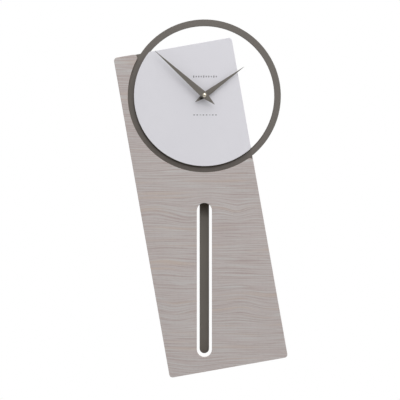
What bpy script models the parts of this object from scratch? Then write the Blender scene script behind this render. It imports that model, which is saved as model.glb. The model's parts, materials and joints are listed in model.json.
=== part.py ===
"""Pendulum wall clock: a tilted wood panel, a hoop, a pale dial, a quartz movement and a swinging bar.

Everything is drawn on a bench frame: x to the right, y up the wall, z out from the wall to the
viewer, with the dial's centre at x = y = 0 and the wall at z = 0. One empty then stands that
frame upright. A second empty leans ten degrees and carries the panel's pieces.
"""

from math import asin, atan2, cos, pi, radians, sin, sqrt, tan

import bmesh
import bpy

# Overall shape, in metres.
HOOP_RADIUS = 0.128
HOOP_WIDTH = 0.0109
DIAL_OVERLAP = 0.0004      # the dial reaches this far over the hoop
LEFT_STRIP = 0.0105        # wood left of the hoop at its narrowest
PANEL_RIGHT = 0.0615
PANEL_TOP = 0.088
PANEL_BOTTOM = 0.454
LEAN = radians(10)         # the panel's top leans to the left
CORNER = 0.0055
PLATE_THICKNESS = 0.006    # hoop and backing, one plate
WOOD_THICKNESS = 0.006
DIAL_THICKNESS = 0.006
GAP = 0.0003               # between pieces that touch
HOLE_STEPS = 10            # sides of a small drilled hole

# Slot and pendulum.
SLOT_WIDTH = 0.0252
SLOT_DROP = 0.051          # the hoop's lowest point to the slot's top
SLOT_MARGIN = 0.0245       # the slot's lower end to the panel's bottom edge
SLOT_RELIEF = 0.004        # the backing's slot is wider than the wood's by this all round
BAR_WIDTH = 0.0159
BAR_THICKNESS = 0.003
BAR_END_INSET = 0.0045     # the bar stops short of the slot's lower end
HOOK_REACH = 0.012         # the movement's lower end to the pin that the bar hangs on
BAR_BACK = 0.012
PIN_RADIUS = 0.0012

# Distances from the wall.
COVER_BACK = 0.005
PLATE_CLEARANCE = 0.001    # the movement's front to the hoop plate, for the rubber washer
CASE_SPLIT = 0.013         # where the movement's two shells meet
WALL = 0.0015              # the shells' thickness

# Movement housing, around the dial's centre.
CONTACT_ROOM = 0.0026      # each end of the cell to the shell's inner side
CELL_ROOM_ABOVE = 0.0016
CELL_ROOM_FRONT = 0.0014
HOUSING_SHOULDER = 0.028
SHOULDER_SLOPE = 0.001
TAIL_HALF_WIDTH = 0.016
TAIL_BOTTOM = 0.072
HOUSING_CORNER = 0.002
BAY_WALL = 0.0012          # between the battery and the wheels

# Gear train: teeth, axle spacings and directions, and the depth of each layer of wheels.
WHEEL_FACE = 0.0012
LAYER_STEP = 0.0022
FIRST_LAYER = 0.0072
MOTION_LAYER = 0.0162
HOUR_LAYER = 0.0186
ARBOR_RADIUS = 0.0004
PIVOT_DEPTH = 0.0005
BEARING_RADIUS = 2.5 * ARBOR_RADIUS
CANNON_TEETH, MOTION_TEETH = 8, 24
MOTION_PINION_TEETH, HOUR_TEETH = 7, 28
KNOB_TEETH = 8
KNOB_FLUTES = 16
KNOB_RADIUS = 0.0055
KNOB_SHAFT_RADIUS = 3 * ARBOR_RADIUS
THIRD_PINION_TEETH, CENTRE_TEETH = 6, 48
SECOND_PINION_TEETH, THIRD_TEETH = 6, 45
MIDDLE_PINION_TEETH, SECOND_TEETH = 6, 30
ROTOR_TEETH, MIDDLE_TEETH = 6, 36
MOTION_SPACING, MOTION_BEARING = 0.010, radians(205)
KNOB_BEARING = radians(235)
THIRD_SPACING, THIRD_BEARING = 0.0095, radians(315)
SECOND_SPACING, SECOND_BEARING = 0.0088, radians(20)
MIDDLE_SPACING, MIDDLE_BEARING = 0.009, radians(270)
ROTOR_SPACING, ROTOR_BEARING = 0.00875, radians(225)

# Motor and electronics.
MAGNET_RADIUS = 0.0025
STATOR_RADIUS = 0.0055
STATOR_THICKNESS = 0.001
STATOR_MIDDLE = 0.0101
CORE_WIDTH = 0.003
COIL_RADIUS = 0.0032
BOARD_THICKNESS = 0.0012
BOARD_BACK = 0.008
BOARD_DROP = 0.0095        # the board's lower edge, below the centre
CRYSTAL_RADIUS = 0.0011
CRYSTAL_LENGTH = 0.0066
CRYSTAL_INSET = 0.006      # from the board's left edge

# Battery.
CELL_RADIUS = 0.00725
CELL_LENGTH = 0.0492
NUB_RADIUS = 0.0027
NUB_LENGTH = 0.0013
CONTACT_HALF_HEIGHT = 0.004
CONTACT_HALF_WIDTH = 0.002
CONTACT_BULGE = 0.001      # how far above the middle the spring end touches the cell

# Hands and the shafts that carry them.
ARBOR_TOP_RADIUS = 0.00145
PIPE_RADIUS = 0.0025
PIPE_WALL = 0.00075
BUSHING_RADIUS = 0.0038
NUT_ACROSS_FLATS = 0.012
NUT_HEIGHT = 0.002
WASHER_RADIUS = 0.0068
WASHER_THICKNESS = 0.0005
HAND_THICKNESS = 0.0008
HOUR_RISE = 0.0052         # dial face to the hour hand's back
MINUTE_RISE = 0.0097
HOUR_LENGTH, HOUR_TAIL, HOUR_WIDTH = 0.0815, 0.019, 0.0099
MINUTE_MARGIN, MINUTE_TAIL, MINUTE_WIDTH = 0.0066, 0.023, 0.0114
HOUR_ANGLE = radians(54.2)     # clockwise from twelve
MINUTE_ANGLE = radians(311.9)
CAP_RADIUS = 0.0035
CAP_HEIGHT = 0.0026

# Pendulum drive.
LEADER_DROP = 0.032
LEADER_BACK = 0.0095
LEADER_THICKNESS = 0.002
LEADER_WIDTH = 0.005
LEADER_HUB_RADIUS = 0.0032
LEADER_SEAT_RADIUS = 0.0052
LEADER_TIP = 0.0035         # the arm runs this far below the hook
MAGNET_DROP = 0.056
LEADER_MAGNET_RADIUS = 0.0035
SWING = radians(4)
DRIVE_COIL_RADIUS = 0.0075

# Wall fittings and screws.
HANGER_CLEARANCE = 0.005   # above the movement
HANGER_HEIGHT = 0.048
HANGER_REST = 0.0345       # the resting point, above the hanger's lower end
HANGER_WIDTH = 0.022
HANGER_STEEL = 0.0015
HANGER_FOOT = 0.009
HANGER_BEND = 0.002        # how far the folded sides lean
KEYHOLE_RADIUS = 0.0046
KEYHOLE_SLOT = 0.0024
SPACER_RADIUS = 0.009
SPACER_INSET = 0.0142      # from the panel's edges
FELT_THICKNESS = 0.0015
SCREW_RADIUS = 0.0017
SCREW_HEAD_RADIUS = 0.0032
SCREW_HEAD_HEIGHT = 0.0018
EDGE_INSET = 0.0145        # screws from the panel's edges
SHOULDER_SHIFT = 0.003     # the screw beside the hoop, off the middle of its strip
DIAL_SCREW_BEARINGS = radians(152), radians(232)

# Modules of the gear pairs: half the module times both tooth counts is the spacing.
CANNON_MODULE = 2 * MOTION_SPACING / (CANNON_TEETH + MOTION_TEETH)
HOUR_MODULE = 2 * MOTION_SPACING / (MOTION_PINION_TEETH + HOUR_TEETH)
KNOB_SPACING = CANNON_MODULE * (MOTION_TEETH + KNOB_TEETH) / 2
ROTOR_MODULE = 2 * ROTOR_SPACING / (ROTOR_TEETH + MIDDLE_TEETH)
MIDDLE_MODULE = 2 * MIDDLE_SPACING / (MIDDLE_PINION_TEETH + SECOND_TEETH)
SECOND_MODULE = 2 * SECOND_SPACING / (SECOND_PINION_TEETH + THIRD_TEETH)
THIRD_MODULE = 2 * THIRD_SPACING / (THIRD_PINION_TEETH + CENTRE_TEETH)
ADDENDUM, DEDENDUM = 0.8, 1.15     # in modules

# Places that follow from the sizes above.
PANEL_LEFT = HOOP_RADIUS + LEFT_STRIP
CENTRE_REACH = max(THIRD_MODULE * (CENTRE_TEETH / 2 + ADDENDUM), HOUR_MODULE * (HOUR_TEETH / 2 + ADDENDUM))
BAY_FLOOR = CENTRE_REACH + 3 * GAP
CELL_HEIGHT = BAY_FLOOR + BAY_WALL + CELL_RADIUS + 2 * GAP
CELL_DEPTH = COVER_BACK + CELL_RADIUS + 2 * GAP
HOUSING_TOP = CELL_HEIGHT + CELL_RADIUS + CELL_ROOM_ABOVE + WALL
HOUSING_HALF_WIDTH = CELL_LENGTH / 2 + NUB_LENGTH + CONTACT_ROOM + WALL
CASE_FRONT = CELL_DEPTH + CELL_RADIUS + CELL_ROOM_FRONT + WALL
PLATE_BACK = CASE_FRONT + PLATE_CLEARANCE
PLATE_FRONT = PLATE_BACK + PLATE_THICKNESS
FACE_BACK = PLATE_FRONT + GAP
WOOD_FRONT = FACE_BACK + WOOD_THICKNESS
DIAL_FRONT = FACE_BACK + DIAL_THICKNESS
HOOP_INNER = HOOP_RADIUS - HOOP_WIDTH
DIAL_RADIUS = HOOP_INNER + DIAL_OVERLAP
MINUTE_LENGTH = HOOP_INNER - MINUTE_MARGIN
HOUR_HAND_BACK = DIAL_FRONT + HOUR_RISE
MINUTE_HAND_BACK = DIAL_FRONT + MINUTE_RISE
SLOT_TOP = HOOP_RADIUS + SLOT_DROP
SLOT_BOTTOM = PANEL_BOTTOM / cos(LEAN) - SLOT_MARGIN
BAR_END = SLOT_BOTTOM - BAR_END_INSET
BAR_PIN_DROP = TAIL_BOTTOM + HOOK_REACH
HANGER_LOW = HOUSING_TOP + HANGER_CLEARANCE
HANGER_HIGH = HANGER_LOW + HANGER_HEIGHT
HANGER_RISE = HANGER_LOW + HANGER_REST
SPACER_BACK = FELT_THICKNESS + GAP
SHAFT_BACK = COVER_BACK + WALL - PIVOT_DEPTH
SHAFT_FRONT = CASE_FRONT - WALL + PIVOT_DEPTH


# ---------------------------------------------------------------- scene and materials

def clear_scene():
    for thing in list(bpy.data.objects):
        bpy.data.objects.remove(thing, do_unlink=True)


def new_collection(name):
    group = bpy.data.collections.new(name)
    bpy.context.scene.collection.children.link(group)
    return group


def make_material(name, colour, roughness, metallic=0.0):
    material = bpy.data.materials.new(name)
    material.use_nodes = True
    shader = material.node_tree.nodes["Principled BSDF"]
    shader.inputs["Base Color"].default_value = (*colour, 1.0)
    shader.inputs["Roughness"].default_value = roughness
    shader.inputs["Metallic"].default_value = metallic
    material.diffuse_color = (*colour, 1.0)
    return material


def new_empty(name, parent=None):
    empty = bpy.data.objects.new(name, None)
    PARTS.objects.link(empty)
    empty.parent = parent
    return empty


def add_solid(name, mesh, place=(0, 0, 0), parent=None, finish=None, turn=0.0):
    """Link a mesh as a part, or as a cutter when it has no finish."""
    solid = bpy.data.objects.new(name, mesh)
    solid.parent = parent or BENCH
    solid.location = place
    solid.rotation_euler = (0, 0, turn)
    if finish:
        PARTS.objects.link(solid)
        mesh.materials.clear()
        mesh.materials.append(FINISHES[finish])
    else:
        CUTTERS.objects.link(solid)
        solid.hide_render = True
        solid.display_type = "WIRE"
    mesh.shade_smooth()
    mesh.set_sharp_from_angle(angle=radians(32))
    return solid


# ---------------------------------------------------------------- outlines, as lists of (x, y)

def arc(centre, radius, start, end, steps):
    points = []
    for step in range(steps + 1):
        angle = start + (end - start) * step / steps
        points.append((centre[0] + radius * cos(angle), centre[1] + radius * sin(angle)))
    return points


def circle(radius, steps, centre=(0, 0)):
    return arc(centre, radius, 0, 2 * pi, steps)[:-1]


def box_outline(left, bottom, right, top):
    return [(left, bottom), (right, bottom), (right, top), (left, top)]


def rounded(corners, radius, steps=5):
    """Round every corner of a polygon, whichever way it turns."""
    points = []
    for index, corner in enumerate(corners):
        before = corners[index - 1]
        after = corners[(index + 1) % len(corners)]
        way_in = atan2(before[1] - corner[1], before[0] - corner[0])
        way_out = atan2(after[1] - corner[1], after[0] - corner[0])
        opening = (way_out - way_in + pi) % (2 * pi) - pi
        middle = way_in + opening / 2
        reach = radius / abs(sin(opening / 2))
        centre = (corner[0] + reach * cos(middle), corner[1] + reach * sin(middle))
        sweep = (pi - abs(opening)) * (1 if opening < 0 else -1)
        first = middle + pi - sweep / 2
        points += arc(centre, radius, first, first + sweep, steps)
    return points


def stadium(half_width, bottom, top, steps=12):
    """A vertical slot with half-round ends."""
    upper = arc((0, top - half_width), half_width, 0, pi, steps)
    lower = arc((0, bottom + half_width), half_width, pi, 2 * pi, steps)
    return upper + lower


def ribbon(path, thickness):
    """The outline of a strip of even thickness along a bent path."""
    left, right = [], []
    for index, point in enumerate(path):
        before = path[max(index - 1, 0)]
        after = path[min(index + 1, len(path) - 1)]
        way_in = atan2(point[1] - before[1], point[0] - before[0])
        way_out = atan2(after[1] - point[1], after[0] - point[0])
        if index == 0:
            way_in = way_out
        if index == len(path) - 1:
            way_out = way_in
        middle = (way_in + way_out) / 2 + pi / 2
        reach = thickness / 2 / cos((way_out - way_in) / 2)
        left.append((point[0] + reach * cos(middle), point[1] + reach * sin(middle)))
        right.append((point[0] - reach * cos(middle), point[1] - reach * sin(middle)))
    return left + right[::-1]


def circle_meets_edge(radius, edge, outside):
    """Fillet between a circle on the dial's centre and a straight edge, in the edge's own terms.

    Returns the fillet's centre as (along, across): across is measured towards the edge.
    """
    span = radius + CORNER if outside else radius - CORNER
    across = edge - CORNER
    return sqrt(span ** 2 - across ** 2), across


def gear_outline(teeth, module, phase):
    pitch = 2 * pi / teeth
    root = module * (teeth / 2 - DEDENDUM)
    tip = module * (teeth / 2 + ADDENDUM)
    corners = ((-0.27, root), (-0.09, tip), (0.09, tip), (0.27, root))
    points = []
    for tooth in range(teeth):
        for share, radius in corners:
            angle = phase + (tooth + share) * pitch
            points.append((radius * cos(angle), radius * sin(angle)))
    return points


def meshing_phase(driver_teeth, driver_phase, driven_teeth, bearing):
    """Turn the driven wheel so that a gap of it meets the driver's tooth along the bearing."""
    driver_pitch = 2 * pi / driver_teeth
    offset = (driver_phase - bearing) % driver_pitch
    return bearing + pi - offset * driver_teeth / driven_teeth + pi / driven_teeth


# ---------------------------------------------------------------- solids

def outline_mesh(name, loops, thickness):
    """A flat solid from closed outlines, the inner ones being holes."""
    curve = bpy.data.curves.new(name, "CURVE")
    curve.dimensions = "2D"
    curve.fill_mode = "BOTH"
    curve.extrude = thickness / 2
    for loop in loops:
        spline = curve.splines.new("POLY")
        spline.points.add(len(loop) - 1)
        for point, (x, y) in zip(spline.points, loop):
            point.co = (x, y, 0, 1)
        spline.use_cyclic_u = True
    guide = bpy.data.objects.new(name + "_guide", curve)
    bpy.context.scene.collection.objects.link(guide)
    graph = bpy.context.evaluated_depsgraph_get()
    mesh = bpy.data.meshes.new_from_object(guide.evaluated_get(graph))
    bpy.data.objects.remove(guide, do_unlink=True)
    bpy.data.curves.remove(curve)
    shape = bmesh.new()
    shape.from_mesh(mesh)
    bmesh.ops.remove_doubles(shape, verts=shape.verts, dist=0.000002)
    bmesh.ops.dissolve_limit(shape, angle_limit=radians(0.1), verts=[], edges=shape.edges)
    bmesh.ops.recalc_face_normals(shape, faces=shape.faces)
    shape.to_mesh(mesh)
    shape.free()
    mesh.name = name
    return mesh


def plate(name, loops, low, high, place=(0, 0), parent=None, finish=None, turn=0.0):
    mesh = outline_mesh(name, loops, high - low)
    return add_solid(name, mesh, (*place, (low + high) / 2), parent, finish, turn)


def cylinder_mesh(name, radius, length, steps):
    mesh = bpy.data.meshes.new(name)
    shape = bmesh.new()
    bmesh.ops.create_cone(shape, cap_ends=True, segments=steps, radius1=radius, radius2=radius, depth=length)
    shape.to_mesh(mesh)
    shape.free()
    return mesh


def cylinder(name, radius, low, high, place=(0, 0), parent=None, finish=None, steps=16):
    mesh = cylinder_mesh(name, radius, high - low, steps)
    return add_solid(name, mesh, (*place, (low + high) / 2), parent, finish)


def turned(name, profile, place=(0, 0), parent=None, finish=None, steps=20):
    """A turned solid: the profile runs from the axis at the front, outwards and down to the axis."""
    mesh = bpy.data.meshes.new(name)
    mesh.from_pydata([(x, 0, z) for x, z in profile], [(i, i + 1) for i in range(len(profile) - 1)], [])
    solid = add_solid(name, mesh, (*place, 0), parent, finish)
    screw = solid.modifiers.new("turn", "SCREW")
    screw.steps = steps
    screw.render_steps = steps
    screw.use_merge_vertices = True
    screw.merge_threshold = 0.00001
    screw.use_smooth_shade = True
    return solid


def apply_boolean(target, tool, operation):
    modifier = target.modifiers.new(operation.lower() + "_" + tool.name, "BOOLEAN")
    modifier.operation = operation
    modifier.object = tool
    return target


def cut(target, tool):
    return apply_boolean(target, tool, "DIFFERENCE")


def join(target, tool):
    return apply_boolean(target, tool, "UNION")


def drill(target, radius, low, high, place=(0, 0), parent=None, steps=16):
    number = len(target.modifiers)
    tool = cylinder(f"{target.name}_drill_{number}", radius, low, high, place, parent, steps=steps)
    return cut(target, tool)


# ---------------------------------------------------------------- hoop, panel and dial

def hoop_plate_outline():
    """The panel's outline with the hoop standing out of its top and right edges."""
    top_angle = pi - asin(PANEL_TOP / HOOP_RADIUS)
    right_angle = -(pi / 2 - asin(PANEL_RIGHT / HOOP_RADIUS))
    hoop = arc((0, 0), HOOP_RADIUS, top_angle, right_angle, 64)
    low_right = arc((PANEL_RIGHT - CORNER, CORNER - PANEL_BOTTOM), CORNER, 0, -pi / 2, 6)
    low_left = arc((CORNER - PANEL_LEFT, CORNER - PANEL_BOTTOM), CORNER, -pi / 2, -pi, 6)
    top_left = arc((CORNER - PANEL_LEFT, PANEL_TOP - CORNER), CORNER, pi, pi / 2, 6)
    return hoop + low_right + low_left + top_left


def hoop_opening_outline():
    """The open part of the hoop, beyond the panel's top and right edges."""
    top_angle = pi - asin(PANEL_TOP / HOOP_INNER)
    right_angle = -(pi / 2 - asin(PANEL_RIGHT / HOOP_INNER))
    bow = arc((0, 0), HOOP_INNER, top_angle, right_angle, 64)
    corner = arc((PANEL_RIGHT - CORNER, PANEL_TOP - CORNER), CORNER, 0, pi / 2, 6)
    return bow + corner


def wood_outline():
    """The panel with a bay cut around the hoop, every corner rounded."""
    along_top, high = circle_meets_edge(HOOP_RADIUS, PANEL_TOP, outside=True)
    along_right, wide = circle_meets_edge(HOOP_RADIUS, PANEL_RIGHT, outside=True)
    start = atan2(high, -along_top)
    end = atan2(-along_right, wide) + 2 * pi
    bay = arc((0, 0), HOOP_RADIUS, start, end, 56)
    right_corner = arc((wide, -along_right), CORNER, end - pi, 0, 6)
    low_right = arc((PANEL_RIGHT - CORNER, CORNER - PANEL_BOTTOM), CORNER, 0, -pi / 2, 6)
    low_left = arc((CORNER - PANEL_LEFT, CORNER - PANEL_BOTTOM), CORNER, -pi / 2, -pi, 6)
    top_left = arc((CORNER - PANEL_LEFT, PANEL_TOP - CORNER), CORNER, pi, pi / 2, 6)
    top_corner = arc((-along_top, high), CORNER, pi / 2, start - pi, 6)
    return bay + right_corner + low_right + low_left + top_left + top_corner


def dial_outline():
    """A disc clipped by the panel's top and right edges, every corner rounded."""
    along_top, high = circle_meets_edge(DIAL_RADIUS, PANEL_TOP, outside=False)
    along_right, wide = circle_meets_edge(DIAL_RADIUS, PANEL_RIGHT, outside=False)
    start = atan2(high, -along_top)
    end = atan2(-along_right, wide) + 2 * pi
    bow = arc((0, 0), DIAL_RADIUS, start, end, 56)
    right_corner = arc((wide, -along_right), CORNER, end - 2 * pi, 0, 6)
    upper = arc((PANEL_RIGHT - CORNER, PANEL_TOP - CORNER), CORNER, 0, pi / 2, 6)
    top_corner = arc((-along_top, high), CORNER, pi / 2, start, 6)
    return bow + right_corner + upper + top_corner


def wood_screw_places():
    left = EDGE_INSET - PANEL_LEFT
    right = PANEL_RIGHT - EDGE_INSET
    shoulder = (-(HOOP_RADIUS + PANEL_LEFT) / 2 + SHOULDER_SHIFT, PANEL_TOP - 2 * EDGE_INSET)
    middle = HOOP_RADIUS + EDGE_INSET
    low = PANEL_BOTTOM - 4 * EDGE_INSET
    return [shoulder, (left, -middle), (right, -middle), (left, -low), (right, -low)]


def dial_screw_places():
    right = PANEL_RIGHT - EDGE_INSET
    reach = HOOP_INNER - 1.5 * EDGE_INSET
    left = [(reach * cos(bearing), reach * sin(bearing)) for bearing in DIAL_SCREW_BEARINGS]
    return left + [(right, -HOOP_INNER / 2), (right, PANEL_TOP - EDGE_INSET)]


def spacer_places():
    low = SPACER_INSET - PANEL_BOTTOM
    return {"left": (SPACER_INSET - PANEL_LEFT, low), "right": (PANEL_RIGHT - SPACER_INSET, low)}


def hanger_screw_places():
    half_foot = HANGER_FOOT / 2
    return {"low": (0, HANGER_LOW + half_foot), "high": (0, HANGER_HIGH - half_foot)}


def build_ring_plate():
    solid = plate("ring_plate", [hoop_plate_outline(), hoop_opening_outline()], PLATE_BACK, PLATE_FRONT,
                  parent=LEANING, finish="lacquer")
    relief = stadium(SLOT_WIDTH / 2 + SLOT_RELIEF, -SLOT_BOTTOM - SLOT_RELIEF, SLOT_RELIEF - SLOT_TOP)
    cut(solid, plate("ring_plate_slot", [relief], PLATE_BACK - GAP, PLATE_FRONT + GAP))
    drill(solid, BUSHING_RADIUS + GAP, PLATE_BACK - GAP, PLATE_FRONT + GAP, steps=24)
    for place in wood_screw_places() + dial_screw_places():
        drill(solid, SCREW_RADIUS + GAP, PLATE_BACK - GAP, PLATE_FRONT + GAP, place, LEANING, HOLE_STEPS)
    for place in spacer_places().values():
        drill(solid, SCREW_RADIUS + GAP, PLATE_BACK - GAP, PLATE_FRONT - WALL / 2, place, LEANING, HOLE_STEPS)
    for place in hanger_screw_places().values():
        drill(solid, SCREW_RADIUS + GAP, PLATE_BACK - GAP, PLATE_FRONT - WALL / 2, place, steps=HOLE_STEPS)


def build_wood_panel():
    solid = plate("wood_panel", [wood_outline()], FACE_BACK, WOOD_FRONT, parent=LEANING, finish="wood")
    slot = stadium(SLOT_WIDTH / 2, -SLOT_BOTTOM, -SLOT_TOP)
    cut(solid, plate("wood_panel_slot", [slot], FACE_BACK - GAP, WOOD_FRONT + GAP))
    for place in wood_screw_places():
        drill(solid, SCREW_RADIUS + GAP, FACE_BACK - GAP, WOOD_FRONT - WALL, place, LEANING, HOLE_STEPS)


def build_dial_plate():
    solid = plate("dial_plate", [dial_outline()], FACE_BACK, DIAL_FRONT, parent=LEANING, finish="dial")
    drill(solid, PIPE_RADIUS + 3 * GAP, FACE_BACK - GAP, DIAL_FRONT + GAP, steps=24)
    drill(solid, WASHER_RADIUS + 4 * GAP, FACE_BACK - GAP, DIAL_FRONT - WALL, steps=24)
    for place in dial_screw_places():
        drill(solid, SCREW_RADIUS + GAP, FACE_BACK - GAP, DIAL_FRONT - WALL, place, LEANING, HOLE_STEPS)


# ---------------------------------------------------------------- movement housing

def housing_outline(inset):
    width = HOUSING_HALF_WIDTH - inset
    tail = TAIL_HALF_WIDTH - inset
    top = HOUSING_TOP - inset
    shoulder = inset - HOUSING_SHOULDER
    bottom = inset - TAIL_BOTTOM
    slope = shoulder - SHOULDER_SLOPE
    corners = [(-width, top), (-width, shoulder), (-tail, slope), (-tail, bottom),
               (tail, bottom), (tail, slope), (width, shoulder), (width, top)]
    return rounded(corners, HOUSING_CORNER - inset / 2, 3)


def bay_wall(name, low, high):
    half = HOUSING_HALF_WIDTH - WALL / 2
    return plate(name, [box_outline(-half, BAY_FLOOR, half, BAY_FLOOR + BAY_WALL)], low, high)


def build_movement_case():
    low = CASE_SPLIT + GAP
    solid = plate("movement_case", [housing_outline(0)], low, CASE_FRONT, finish="black_plastic")
    cut(solid, plate("case_hollow", [housing_outline(WALL)], low - GAP, CASE_FRONT - WALL))
    join(solid, bay_wall("case_bay_wall", low + GAP, CASE_FRONT - WALL / 2))
    drill(solid, BUSHING_RADIUS - WALL / 2 + GAP, CASE_FRONT - 2 * WALL, CASE_FRONT + GAP, steps=24)
    for place in (MOTION, THIRD, SECOND, MIDDLE, ROTOR, LEADER_PIVOT):
        drill(solid, BEARING_RADIUS + GAP, CASE_FRONT - 2 * WALL, SHAFT_FRONT + GAP, place, steps=HOLE_STEPS)


def build_movement_cover():
    high = CASE_SPLIT
    solid = plate("movement_cover", [housing_outline(0)], COVER_BACK, high, finish="black_plastic")
    cut(solid, plate("cover_hollow", [housing_outline(WALL)], COVER_BACK + WALL, high + GAP))
    join(solid, bay_wall("cover_bay_wall", COVER_BACK + WALL / 2, high - GAP))
    half = CELL_LENGTH / 2 + NUB_LENGTH
    window = box_outline(-half, CELL_HEIGHT - CELL_RADIUS - GAP, half, CELL_HEIGHT + CELL_RADIUS + GAP)
    cut(solid, plate("cover_window", [window], COVER_BACK - GAP, COVER_BACK + 2 * WALL))
    reach = (TAIL_BOTTOM - LEADER_DROP) * tan(SWING) + LEADER_WIDTH / 2 + 3 * GAP
    notch = box_outline(-reach, -TAIL_BOTTOM - GAP, reach, 2 * WALL - TAIL_BOTTOM)
    cut(solid, plate("cover_notch", [notch], LEADER_BACK - WALL, high + GAP))
    drill(solid, KNOB_SHAFT_RADIUS + GAP, COVER_BACK - GAP, COVER_BACK + 2 * WALL, KNOB, steps=16)
    for place in (CENTRE, MOTION, THIRD, SECOND, MIDDLE, ROTOR, LEADER_PIVOT):
        drill(solid, BEARING_RADIUS + GAP, SHAFT_BACK - GAP, COVER_BACK + 2 * WALL, place, steps=HOLE_STEPS)


def build_electronics():
    left = WALL + GAP - HOUSING_HALF_WIDTH
    board = box_outline(left, -BOARD_DROP, KNOB[0] - KNOB_SHAFT_RADIUS - GAP, BAY_FLOOR - 4 * GAP)
    top = BOARD_BACK + BOARD_THICKNESS
    plate("circuit_board", [board], BOARD_BACK, top, finish="board")
    half = CRYSTAL_LENGTH / 2
    can = cylinder("quartz_crystal", CRYSTAL_RADIUS, -half, half, finish="steel", steps=12)
    can.rotation_euler = (pi / 2, 0, 0)
    can.location = (left + CRYSTAL_INSET, 0, top + GAP + CRYSTAL_RADIUS)


def build_motor():
    low = STATOR_MIDDLE - STATOR_THICKNESS / 2
    high = STATOR_MIDDLE + STATOR_THICKNESS / 2
    spread = asin(CORE_WIDTH / 2 / STATOR_RADIUS)
    ring = arc(ROTOR, STATOR_RADIUS, spread - pi, pi - spread, 24)
    tip = 4 * WALL - HOUSING_HALF_WIDTH
    core = [(tip, ROTOR[1] + CORE_WIDTH / 2), (tip, ROTOR[1] - CORE_WIDTH / 2)]
    hole = circle(MAGNET_RADIUS + 2 * GAP, 20, ROTOR)
    plate("motor_stator", [ring + core, hole], low, high, finish="steel")
    length = ROTOR[0] - STATOR_RADIUS - tip - 2 * COIL_RADIUS
    middle = (tip + ROTOR[0] - STATOR_RADIUS) / 2
    mesh = cylinder_mesh("motor_coil", COIL_RADIUS, length, 16)
    coil = add_solid("motor_coil", mesh, (middle, ROTOR[1], STATOR_MIDDLE), finish="copper")
    coil.rotation_euler = (0, pi / 2, 0)
    sleeve = box_outline(-length, -CORE_WIDTH / 2 - GAP, length, CORE_WIDTH / 2 + GAP)
    cut(coil, plate("coil_sleeve", [sleeve], low - GAP, high + GAP, (middle, ROTOR[1])))


# ---------------------------------------------------------------- wheels

def beside(place, spacing, bearing):
    return (place[0] + spacing * cos(bearing), place[1] + spacing * sin(bearing))


def layer(number):
    """Front and back of one of the fast train's layers of wheels."""
    low = FIRST_LAYER + number * LAYER_STEP
    return low, low + WHEEL_FACE


def gear(name, teeth, module, low, high, place, phase, finish=None):
    return plate(name, [gear_outline(teeth, module, phase)], low, high, place, finish=finish)


def wheel_on_arbor(name, place, wheel, pinion, finish, arbor=ARBOR_RADIUS):
    """Wheel, pinion and arbor as one piece; wheel and pinion are (teeth, module, low, high, phase)."""
    teeth, module, low, high, phase = wheel
    solid = gear(name, teeth, module, low, high, place, phase, finish)
    teeth, module, low, high, phase = pinion
    join(solid, gear(name + "_pinion", teeth, module, low, high, place, phase))
    return join(solid, cylinder(name + "_arbor", arbor, SHAFT_BACK, SHAFT_FRONT, place, steps=10))


def build_fast_train():
    low, high = layer(0)
    magnet_back = high + WHEEL_FACE / 2
    rotor = cylinder("rotor", MAGNET_RADIUS, magnet_back, magnet_back + 2 * WHEEL_FACE, ROTOR,
                     finish="magnet", steps=20)
    join(rotor, gear("rotor_pinion", ROTOR_TEETH, ROTOR_MODULE, low, magnet_back + GAP, ROTOR, 0))
    join(rotor, cylinder("rotor_arbor", ARBOR_RADIUS, SHAFT_BACK, SHAFT_FRONT, ROTOR, steps=10))
    phase = meshing_phase(ROTOR_TEETH, 0, MIDDLE_TEETH, ROTOR_BEARING + pi)
    wheel_on_arbor("intermediate_wheel", MIDDLE, (MIDDLE_TEETH, ROTOR_MODULE, low, high, phase),
                   (MIDDLE_PINION_TEETH, MIDDLE_MODULE, high - GAP, layer(1)[1], 0), "white_plastic")
    phase = meshing_phase(MIDDLE_PINION_TEETH, 0, SECOND_TEETH, MIDDLE_BEARING + pi)
    low, high = layer(1)
    wheel_on_arbor("second_wheel", SECOND, (SECOND_TEETH, MIDDLE_MODULE, low, high, phase),
                   (SECOND_PINION_TEETH, SECOND_MODULE, high - GAP, layer(2)[1], 0), "white_plastic")
    phase = meshing_phase(SECOND_PINION_TEETH, 0, THIRD_TEETH, SECOND_BEARING + pi)
    low, high = layer(2)
    wheel_on_arbor("third_wheel", THIRD, (THIRD_TEETH, SECOND_MODULE, low, high, phase),
                   (THIRD_PINION_TEETH, THIRD_MODULE, high - GAP, layer(3)[1], 0), "white_plastic")
    phase = meshing_phase(THIRD_PINION_TEETH, 0, CENTRE_TEETH, THIRD_BEARING + pi)
    low, high = layer(3)
    centre = gear("centre_wheel", CENTRE_TEETH, THIRD_MODULE, low, high, CENTRE, phase, "white_plastic")
    drill(centre, ARBOR_TOP_RADIUS + GAP, low - GAP, high + GAP, steps=20)


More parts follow.
